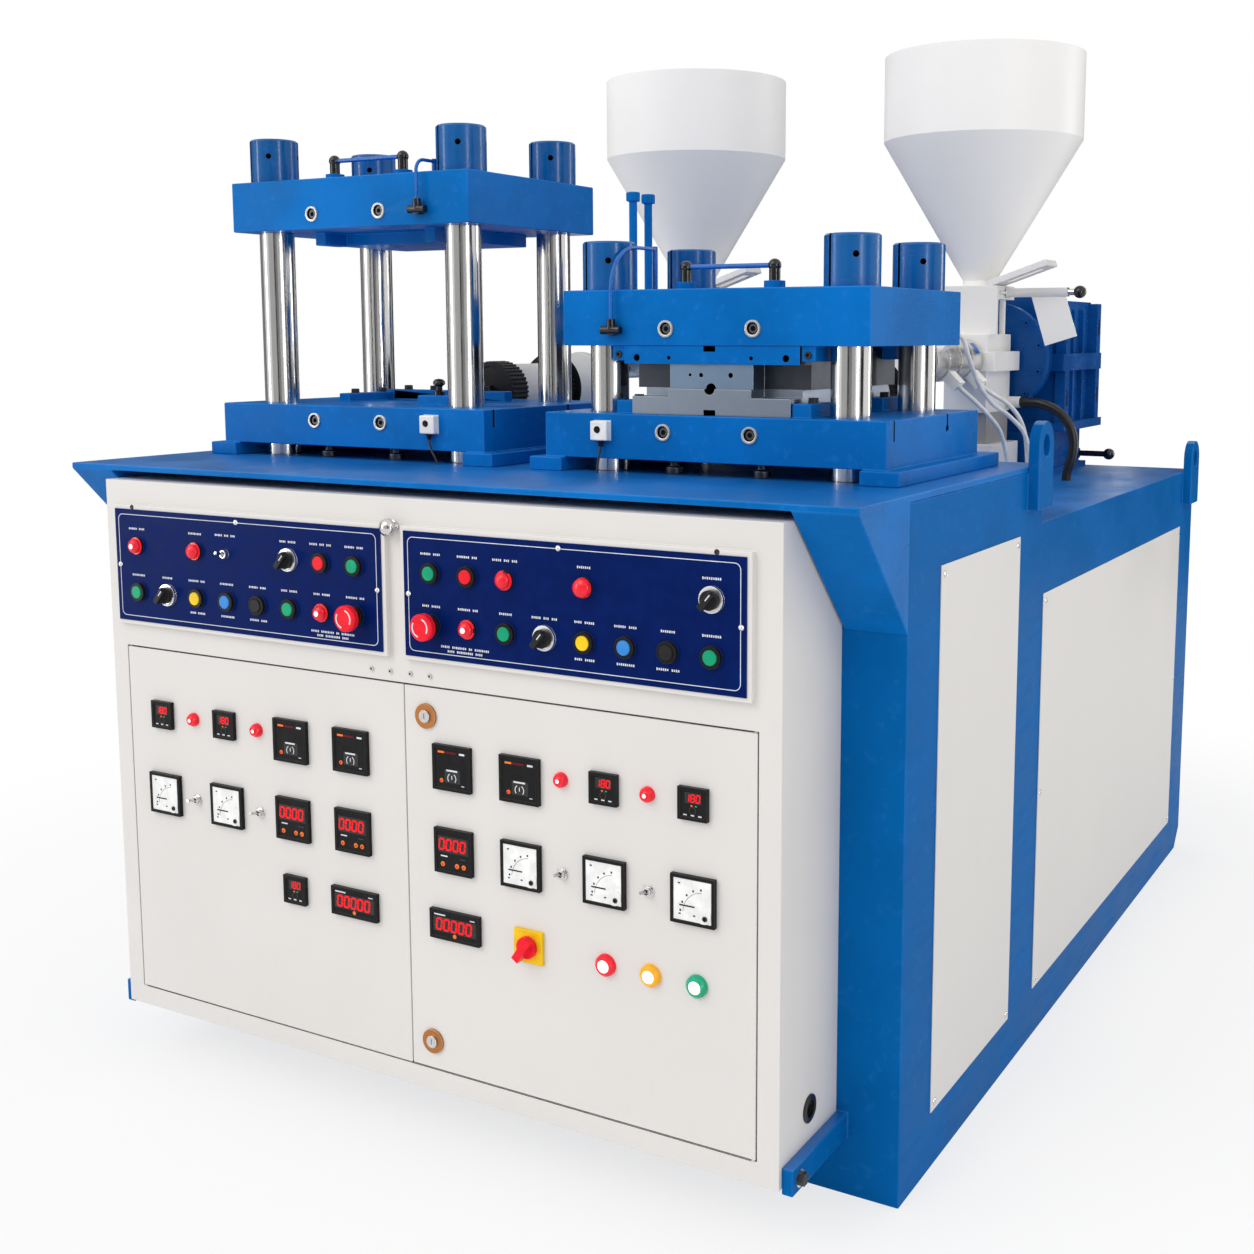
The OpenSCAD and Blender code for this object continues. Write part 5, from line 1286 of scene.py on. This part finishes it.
class MACHINE_OT_instruments(bpy.types.Operator):
    """Door instruments with digits, dials and lamps"""

    bl_idname = "machine.instruments"
    bl_label = "Instruments"

    segments = {"0": "abcdef", "1": "bc", "8": "abcdefg"}

    def execute(self, context):
        s = size_settings()
        for side, rows in INSTRUMENTS.items():
            body = f"{side}_door"
            lamps = [(door_spot(side, x, z), r, lens) for r, x, z, lens in DOOR_LAMPS[side]]
            toggles = [(DOOR_X[side] + across, TOGGLE_Z) for across in TOGGLES[side]]
            tints = [(lens, self.lamp_rule(spot, radius)) for spot, radius, lens in lamps]
            tints.append(("chrome", lambda p, n: near(p, toggles, 0.012)))
            if side == "right":
                tints.append(("yellow_plate", lambda p, n: inside(p, *SWITCH_PLATE)))
                tints.append(("copper_ring", self.on_lock))
            node = f"{side}_door_instruments"
            dressed(node, body, "instrument_black", "black_plastic", s.small_round, tints)
            faces = Shape()
            for kind, across, height in rows:
                getattr(self, kind)(faces, door_spot(side, across, height) + Vector((0, -0.006, 0)))
            faces.done(f"{side}_instrument_faces", body, "instrument_black")
            glow = Shape()
            for spot, radius, lens in lamps:
                self.door_lamp(glow, spot, radius, lens)
            glow.done(f"{side}_door_lamps", body, "red_cap")
        return {"FINISHED"}

    def on_lock(self, p, n):
        half = 0.0205
        return abs(p.x - LOCK_X) < half and any(abs(p.z - z) < half for z in LOCK_Z)

    def lamp_rule(self, spot, radius):
        rim = radius + 0.001
        return lambda p, n: p.y < CABINET_Y - 0.0002 and near(p, [(spot.x, spot.z)], rim)

    def door_lamp(self, shape, spot, radius, lens):
        """A lamp with a lit middle if it is large, or, if it is small, a painted highlight: a glowing white glint."""
        r = radius
        rim = (
            (r * 0.6, 0.0098), (r * 0.78, 0.0102), (r * 0.9, 0.008), (r * 1.02, 0.006),
            (r * 1.06, 0.002), (r * 1.06, 0),
        )
        crown = ((0, 0.0032), (r * 0.4, 0.0024), (r * 0.66, 0.0))
        glint = ((0, 0.0014), (r * 0.24, 0.0010), (r * 0.30, 0.0))
        large = radius > 0.012
        shape.turned(spot, FRONT, rim, lens)
        shape.turned(spot + Vector((0, -0.0095, 0)), FRONT, crown, "lit_white" if large else lens)
        if not large:
            # The glint on a small lamp is a painted highlight, made of the glowing white.
            shape.turned(spot + Vector((0, -0.0118, 0)), FRONT, glint, "lit_white", 14)

    def digit(self, shape, at, figure, height):
        half = height / 2
        wide = height * 0.27
        thick = height * 0.085
        bars = {
            "a": (0, half, 0), "d": (0, -half, 0), "g": (0, 0, 0),
            "b": (wide, half / 2, 1), "c": (wide, -half / 2, 1),
            "f": (-wide, half / 2, 1), "e": (-wide, -half / 2, 1),
        }
        for name in self.segments[figure]:
            x, z, upright = bars[name]
            size = (thick, half / 2 - thick * 0.4) if upright else (wide - thick * 0.4, thick)
            slant = (z + half) * 0.10
            self.pane(shape, at, x + slant, z, *size, "red_digit", 0.0004)

    def digits(self, shape, at, x, z, figures, height):
        """A row of figures on a pane."""
        pitch = height * 0.82
        first = x - (len(figures) - 1) / 2 * pitch
        for i, figure in enumerate(figures):
            self.digit(shape, at + Vector((first + i * pitch, -PANE, z)), figure, height)

    def pane(self, shape, at, x, z, half_w, half_h, name, lift=PANE):
        """A thin plate on a face, from its middle and half sizes."""
        low, high = Vector((x - half_w, 0, z - half_h)), Vector((x + half_w, -lift, z + half_h))
        shape.plate(at + low, at + high, name)

    def key(self, shape, at, x, z, radius, name, lift=0.0):
        profile = ((0, 0.0012), (radius * 0.8, 0.0011), (radius, 0.0006), (radius, 0))
        shape.turned(at + Vector((x, -lift, z)), FRONT, profile, name, 14)

    def controller(self, shape, at):
        self.pane(shape, at, 0.001, 0.0085, 0.0135, 0.0080, "black_gloss")
        self.digits(shape, at, 0.0, 0.0085, "180", 0.0105)
        for x, name in ((-0.0015, "orange_strip"), (0.0055, "green_lens")):
            self.pane(shape, at, x, -0.0025, 0.0016, 0.0009, name)
        shape.arc(at + Vector((0, 0, -0.0095)), FRONT, 0.0048, 0.0007, PANE, 0, 360, "dim_grey", 20)
        for x in (-0.012, 0.0, 0.012):
            self.pane(shape, at, x, -0.0165, 0.0028, 0.0009, "print_white", PRINT)

    def timer(self, shape, at):
        strips = (
            (-0.0195, 0.0060, "orange_strip"),
            (-0.0015, 0.0105, "wine_strip"),
            (0.0205, 0.0050, "print_white"),
        )
        for x, half, name in strips:
            self.pane(shape, at, x, 0.0245, half, 0.0015, name)
        self.pane(shape, at, 0.002, -0.0125, 0.0150, 0.0105, "black_gloss")
        glass = at + Vector((0.001, -PANE, 0))
        self.pane(shape, glass, 0, -0.0035, 0.0105, 0.0013, "print_white", PRINT)
        dial = glass + Vector((0, 0, -0.0155))
        for start in (120, -40):
            shape.arc(dial, FRONT, 0.0072, 0.0013, PANE, start, 100, "print_white")
        self.pane(shape, dial, 0, 0.0015, 0.0007, 0.0030, "print_white", PRINT)
        self.key(shape, at, -0.0190, -0.0205, 0.0034, "orange_key")
        self.key(shape, at, -0.0190, -0.0205, 0.0019, "red_digit", 0.0010)
        self.pane(shape, at, 0.0215, -0.0255, 0.0028, 0.0006, "print_white", PRINT)

    def meter(self, shape, at):
        self.pane(shape, at, 0, 0.0105, 0.0290, 0.0130, "black_gloss")
        self.digits(shape, at, -0.002, 0.0105, "0000", 0.0165)
        self.pane(shape, at, -0.0175, -0.0085, 0.0065, 0.0010, "print_white", PRINT)
        self.pane(shape, at, 0.0185, -0.0095, 0.0055, 0.0006, "dim_grey", PRINT)
        for x in (-0.0200, 0.0075, 0.0205):
            self.key(shape, at, x, -0.0215, 0.0040, "orange_key")
            self.key(shape, at, x, -0.0215, 0.0017, "red_lens", 0.0011)

    def counter(self, shape, at):
        self.pane(shape, at, 0, 0.0005, 0.0415, 0.0120, "black_gloss")
        self.digits(shape, at, -0.002, 0.0005, "00000", 0.0175)
        self.pane(shape, at, -0.0290, 0.0155, 0.0110, 0.0011, "print_white", PRINT)
        self.pane(shape, at, 0.0345, 0.0155, 0.0045, 0.0008, "print_white", PRINT)
        self.key(shape, at, 0, -0.0155, 0.0034, "orange_key")

    def ammeter(self, shape, at):
        thick = 0.0008
        self.pane(shape, at, 0, 0, 0.0305, 0.0305, "dial_white", thick)
        face = at + Vector((0, -thick, 0))
        hub = face + Vector((0.0180, 0, -0.0190))
        shape.arc(hub, FRONT, 0.0330, 0.0005, PRINT, 95, 82, "dim_grey", 18)
        for k in range(5):
            angle = math.radians(96 + 20 * k)
            x, z = 0.0375 * math.cos(angle), 0.0375 * math.sin(angle)
            self.pane(shape, hub, x, z, 0.0013, 0.0015, "ink_black", PRINT)
        for x, z in ((-0.0215, 0.0235), (-0.0205, -0.0215), (0.0030, -0.0215)):
            self.pane(shape, face, x, z, 0.0018, 0.0010, "ink_black", PRINT)
        self.pane(shape, face, -0.0085, -0.0085, 0.0125, 0.0010, "ink_black", 0.0004)
        cover = ((0, 0.0012), (0.0110, 0.0011), (0.0124, 0.0006), (0.0124, 0))
        shape.turned(hub, FRONT, cover, "dial_white")
        screw = hub + Vector((0.0030, -0.0011, -0.0035))
        shape.cap_screw(screw, FRONT, 0.0040, 0.0014, "black_gloss", 18)


class MACHINE_OT_presses(bpy.types.Operator):
    """Platens, pillars, nuts and fittings"""

    bl_idname = "machine.presses"
    bl_label = "Presses"

    def execute(self, context):
        s = size_settings()
        lower = self.lower_tints()
        dressed("lower_platens", "machine", "blue_paint", "blue_paint", s.plate_round, lower)
        for side, x in STATION_X.items():
            self.clamp(side, x, s)
        self.sensors()
        self.clamp_bolts()
        self.port_plugs("lower_port_plugs", "machine", LOWER_FRONT, LOWER_PORT_Z, STATION_X.values())
        for side, x in STATION_X.items():
            height = UPPER_FOOT[side] + UPPER_PORT_RISE
            self.port_plugs(f"{side}_port_plugs", f"{side}_clamp", UPPER_FRONT, height, [x])
        return {"FINISHED"}

    def clamp(self, side, x, s):
        """Upper platen, pillars, nuts and fittings of one press."""
        body, foot, top = f"{side}_clamp", UPPER_FOOT[side], UPPER_TOP[side]
        ports = self.port_tints(x, UPPER_FRONT, foot + UPPER_PORT_RISE)
        grey = (("grey_paint", lambda p, n: p.z < GREY_PILLAR_TOP),)
        # The pin holes of the nuts take near-black painted shade.
        holes = (("black_hole", lambda p, n: self.in_pin_hole(p, x, top)),)
        tubes = (
            ("blue_paint", lambda p, n: top - 0.001 < p.z < top + 0.0125 and p.y > UPPER_FRONT + 0.01),
            ("air_tube", lambda p, n: abs(p.x - x - 0.005) < 0.070 and p.z > top + 0.030),
            ("air_tube", lambda p, n: -0.25 < p.x < 0.25 and p.z > foot + 0.045),
        )
        for part, slot, name, width, tints in (
            ("upper_platen", "blue_paint", "blue_paint", s.plate_round, ports),
            ("pillars", "chrome", "chrome", s.small_round, grey),
            ("pillar_nuts", "blue_paint", "nut_blue", s.small_round, holes),
            ("platen_fittings", "fitting_black", "black_gloss", s.small_round, tubes),
        ):
            dressed(f"{side}_{part}", body, slot, name, width, tints)

    def port_plugs(self, name, body, front, z, stations):
        """Socket plugs seen inside the port rings."""
        shape = Shape()
        for x in stations:
            for i in (-1, 1):
                at = (x + i * PORT_ACROSS, front + 0.0035, z)
                shape.cap_screw(at, FRONT, 0.0080, 0.0030, "port_dark", 24, 0.42)
        shape.done(name, body, "fitting_black")

    def sensors(self):
        """The round button and the lead's gland on each sensor box."""
        shape = Shape()
        button = (
            (0, 0.0026), (0.0030, 0.0026), (0.0034, 0.0014), (0.0050, 0.0018), (0.0058, 0.0008),
            (0.0058, 0),
        )
        gland = (
            (0.0022, 0), (0.0044, 0), (0.0044, 0.004), (0.0030, 0.010), (0.0022, 0.010),
            (0.0022, 0),
        )
        for x, y, z in SENSOR_AT.values():
            shape.turned((x - 0.002, y - 0.007, z + 0.018), FRONT, button, "black_plastic", 24)
            shape.turned((x, y, z), DOWN, gland, "black_plastic", 16)
        shape.done("sensor_fittings", "machine", "fitting_black")

    def clamp_bolts(self):
        """Bolts and the knob on the clamp bars of the left press."""
        x = STATION_X["left"]
        shape = Shape()
        for across in (-0.095, -0.030, 0.030, 0.095):
            shape.cap_screw((x + across, PRESS_Y + 0.083, 1.191), UP, 0.0085, 0.0085, "dark_paint")
        for deep in (0.052, -0.028):
            shape.cap_screw((x - 0.136, PRESS_Y + deep, 1.187), UP, 0.0080, 0.0080, "dark_paint")
        knob = (
            (0, 0.030), (0.007, 0.029), (0.011, 0.025), (0.011, 0.020), (0.006, 0.016), (0.006, 0.009),
            (0.010, 0.007), (0.010, 0),
        )
        shape.turned((x + 0.120, PRESS_Y - 0.090, 1.189), UP, knob, "black_gloss")
        shape.done("clamp_bolts", "machine", "dark_paint")

    def in_pin_hole(self, p, x, top):
        """Whether a point lies in a pin hole of a pillar nut."""
        across = x + math.copysign(PILLAR_ACROSS, p.x - x)
        deep = min(PILLAR_Y, key=lambda y: abs(p.y - y))
        out = math.hypot(p.x - across, p.y - deep)
        return abs(p.z - top - 0.048) < 0.0055 and 0.033 < out < 0.0437

    def port_tints(self, x, front, z):
        """The rings round a platen's ports, and painted shade in the holes in them."""
        ports = [(x + i * PORT_ACROSS, z) for i in (-1, 1)]

        def ring(p, n):
            return p.y < front - 0.0003 and near(p, ports, 0.0145)

        def hole(p, n):
            return front + 0.0001 < p.y < front + 0.030 and near(p, ports, 0.0095)

        return (("port_ring", ring), ("black_hole", hole))

    def lower_tints(self):
        tints = []
        for side, x in STATION_X.items():
            tints.extend(self.port_tints(x, LOWER_FRONT, LOWER_PORT_Z))
            tints.extend(self.lower_rules(x, x + SENSOR_ACROSS[side]))
        return tints

    def lower_rules(self, x, sensor):
        """Painted shade in the slots in a lower platen's right side, and its sensor box and its levelling feet."""
        edge = x + LOWER_HALF_WIDTH

        def slot(p, n):
            within = edge - 0.0125 < p.x < edge - 0.0004 and -0.72 < p.y < -0.40
            return within and p.z > LOWER_FOOT and n.z < 0.5

        def box(p, n):
            return p.y < LOWER_FRONT - 0.0005 and abs(p.x - sensor) < 0.0165 and p.z > LOWER_FOOT

        def foot(p, n):
            return BED_TOP - 0.001 < p.z < FOOT_TOP and abs(abs(p.x - x) - FOOT_ACROSS) < 0.0145

        return (("black_hole", slot), ("sensor_white", box), ("dark_steel", foot))


class MACHINE_OT_mould(bpy.types.Operator):
    """Mould halves with screws"""

    bl_idname = "machine.mould"
    bl_label = "Mould"

    def execute(self, context):
        s = size_settings()
        x = STATION_X["right"]
        # Painted shade in the bore, the slots and the screw holes of the mould halves.
        lower = (("black_hole", lambda p, n: self.in_bore(p, x) or self.in_slot(p, x)),)
        upper = (
            # Painted shade: the sides and pocket walls behind the mould's front take the dark steel.
            ("dark_steel", lambda p, n: abs(p.x - x) > 0.0752 and p.y > MOULD_FRONT + 0.010),
            ("blue_paint", lambda p, n: p.z > BLUE_MOULD_FOOT and p.y < MOULD_FRONT + 0.001),
            ("black_hole", lambda p, n: self.in_bore(p, x) or self.in_hole(p, x)),
        )
        dressed("lower_mould", "machine", "tool_steel", "tool_steel", s.small_round, lower)
        dressed("upper_mould", "right_clamp", "tool_steel", "block_steel", s.small_round, upper)
        bolts = Shape()
        for i in (-1, 1):
            for j in (-1, 1):
                at = (x + i * 0.159, PRESS_Y + j * 0.145, 1.193)
                bolts.cap_screw(at, UP, 0.0085, 0.0080, "dark_paint")
        bolts.done("mould_bolts", "machine", "dark_paint")
        bolts = Shape()
        for i in (-1, 1):
            at = (x + i * 0.170, MOULD_FRONT + 0.004, 1.2675)
            bolts.cap_screw(at, FRONT, 0.0060, 0.0030, "dark_paint")
        bolts.done("upper_mould_bolts", "right_clamp", "dark_paint")
        return {"FINISHED"}

    def in_bore(self, p, x):
        return near(p, [(x, BORE_Z)], BORE_RADIUS)

    def in_slot(self, p, x):
        return abs(p.x - x) < MOULD_SLOT_HALF and p.z < LOWER_SLOT_TOP

    def in_hole(self, p, x):
        """Whether a point lies in the top slot or a screw hole of the upper half."""
        if abs(p.x - x) < MOULD_SLOT_HALF and p.z > UPPER_SLOT_FOOT:
            return True
        holes = [(across, 1.262, 0.0005, 0.0060) for across in (-0.134, -0.074, 0.074, 0.134)]
        holes += [(across, 1.235, 0.0065, 0.0045) for across in (-0.038, -0.018, 0.035)]
        depth = p.y - MOULD_FRONT
        return any(
            start < depth < 0.022 and near(p, [(x + across, z)], radius)
            for across, z, start, radius in holes
        )


class MACHINE_OT_extruders(bpy.types.Operator):
    """Shot units, barrels, screws, feed throats, gates and stands"""

    bl_idname = "machine.extruders"
    bl_label = "Extruders"

    def execute(self, context):
        s = size_settings()
        bands = self.barrel_tints()
        dressed("barrels", "machine", "heater_steel", "heater_steel", s.small_round, bands)
        dressed("feed_throats", "machine", "white_paint", "feed_white", s.sheet_round)
        feet = (("feed_white", lambda p, n: p.z < STAND_FOOT_TOP),)
        dressed("barrel_stands", "machine", "grey_paint", "grey_paint", s.sheet_round, feet)
        for side, x in STATION_X.items():
            gate = f"{side}_hopper_gate"
            pull = (
                ("chrome", lambda p, n: p.x > x + GATE_BAR_X),
                ("black_gloss", lambda p, n: p.x > x + GATE_KNOB_X),
            )
            dressed(gate, gate, "white_paint", "feed_white", s.small_round, pull)
            label = Shape()
            label.arc((x, BAND_LABEL_Y, SCREW_Z), BACK, 0.0461, 0.0005, 0.022, -52, 34, "air_tube")
            label.done(f"{side}_band_label", "machine", "blue_paint")
            screw = frame["nodes"][f"{side}_screw"]
            screw.data.materials.clear()
            screw.data.materials.append(finish("tool_steel"))
        return {"FINISHED"}

    def barrel_tints(self):
        def section(low, high):
            return lambda p, n: low <= p.y <= high and self.out(p, SHOT_Z) <= 0.2

        def plug(p, n):
            return PLUG_BOX_Y[0] < p.y < PLUG_BOX_Y[1] and self.out(p, SCREW_Z) > BAND_RADIUS

        sections = [(name, section(low, high)) for low, high, name in SHOT_SECTIONS]
        return sections + [("sensor_white", plug)]

    def out(self, p, z):
        """How far a point lies from its station's axis at a height."""
        return math.hypot(p.x - nearest_station(p), p.z - z)


class MACHINE_OT_hoppers(bpy.types.Operator):
    """Sheet hoppers"""

    bl_idname = "machine.hoppers"
    bl_label = "Hoppers"

    def execute(self, context):
        s = size_settings()
        wall = 0.003
        for side, x in STATION_X.items():
            low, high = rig.box(f"{side}_hopper")
            outer = (high.x - low.x) / 2
            neck, collar, shoulder = 0.037, low.z + 0.012, high.z - 0.186
            outside = [(neck, low.z), (neck, collar), (outer, shoulder), (outer, high.z)]
            within = [(radius - wall, height) for radius, height in outside]
            shape = Shape()
            shape.turned((x, HOPPER_Y, 0), UP, within[:1] + outside + within[::-1], "hopper_white", 128)
            shape.round_edges(s.small_round, 20.0)
            shape.done(f"{side}_hopper_sheet", "machine", "white_paint", (f"{side}_hopper",))
        return {"FINISHED"}


class MACHINE_OT_gearboxes(bpy.types.Operator):
    """Gearboxes with their bolts, and the hydraulics inside the base"""

    bl_idname = "machine.gearboxes"
    bl_label = "Gearboxes and hydraulics"

    def execute(self, context):
        s = size_settings()

        def lever(p, n):
            return p.z < LEVER_TOP and abs(p.x - nearest_station(p)) > 0.15

        tints = (("black_gloss", lever),)
        dressed("gearboxes", "machine", "gear_blue", "gear_blue", s.ledge_round, tints)
        circle = FLANGE_BOLT_CIRCLE
        # Thin near-black sheets on the rib sides are painted shade for the rib pockets.
        pocket_shade = Vector((0.0004, 0.005, 0.019))
        bolts = Shape()
        for x in STATION_X.values():
            for k in range(12):
                angle = math.tau * (k + 0.5) / 12
                at = (x + circle * math.cos(angle), FLANGE_FRONT, SCREW_Z + circle * math.sin(angle))
                bolts.cap_screw(at, FRONT, 0.0065, 0.006, "gear_blue", 12)
            for side in (-1, 1):
                for y in RIB_POCKET_Y:
                    for z in RIB_POCKET_Z:
                        spot = Vector((x + side * RIB_SIDE, y, z))
                        bolts.plate(spot - pocket_shade, spot + pocket_shade, "black_hole")
        bolts.done("gearbox_bolts", "machine", "gear_blue")
        hidden = frame["nodes"]["hydraulics"]
        hidden.data.materials.clear()
        hidden.data.materials.append(finish("dark_paint"))
        return {"FINISHED"}


class MACHINE_PT_sidebar(bpy.types.Panel):
    """Sidebar with the machine's operators and settings"""

    bl_label = "Moulding machine"
    bl_idname = "MACHINE_PT_sidebar"
    bl_space_type = "VIEW_3D"
    bl_region_type = "UI"
    bl_category = "Machine"

    def draw(self, context):
        for operator in OPERATORS:
            self.layout.operator(operator.bl_idname)
        for group in (finish_settings(), size_settings(), stage_settings()):
            for name in group.bl_rna.properties.keys():
                if name not in {"rna_type", "name"}:
                    self.layout.prop(group, name)


SETTINGS = (FinishSettings, SizeSettings, StageSettings)
OPERATORS = (
    MACHINE_OT_stage,
    MACHINE_OT_cords,
    MACHINE_OT_base,
    MACHINE_OT_cabinet,
    MACHINE_OT_panels,
    MACHINE_OT_controls,
    MACHINE_OT_instruments,
    MACHINE_OT_presses,
    MACHINE_OT_mould,
    MACHINE_OT_extruders,
    MACHINE_OT_hoppers,
    MACHINE_OT_gearboxes,
)


def register():
    for part in SETTINGS + OPERATORS + (MACHINE_PT_sidebar,):
        bpy.utils.register_class(part)
    bpy.types.Scene.machine_finish = PointerProperty(type=FinishSettings)
    bpy.types.Scene.machine_sizes = PointerProperty(type=SizeSettings)
    bpy.types.Scene.machine_stage = PointerProperty(type=StageSettings)


def unregister():
    del bpy.types.Scene.machine_stage
    del bpy.types.Scene.machine_sizes
    del bpy.types.Scene.machine_finish
    for part in reversed(SETTINGS + OPERATORS + (MACHINE_PT_sidebar,)):
        bpy.utils.unregister_class(part)


def main():
    register()
    bpy.ops.machine.stage()
    bpy.ops.machine.cords()
    bpy.ops.machine.base()
    bpy.ops.machine.cabinet()
    bpy.ops.machine.panels()
    bpy.ops.machine.controls()
    bpy.ops.machine.instruments()
    bpy.ops.machine.presses()
    bpy.ops.machine.mould()
    bpy.ops.machine.extruders()
    bpy.ops.machine.hoppers()
    bpy.ops.machine.gearboxes()
    sizes = {
        "cad_box": [list(corner) for corner in CAD_BOX],
        "visual_box": [list(corner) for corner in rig.bounds()],
    }
    with open("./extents.json", "w") as file:
        json.dump(sizes, file)


if __name__ == "__main__":
    main()
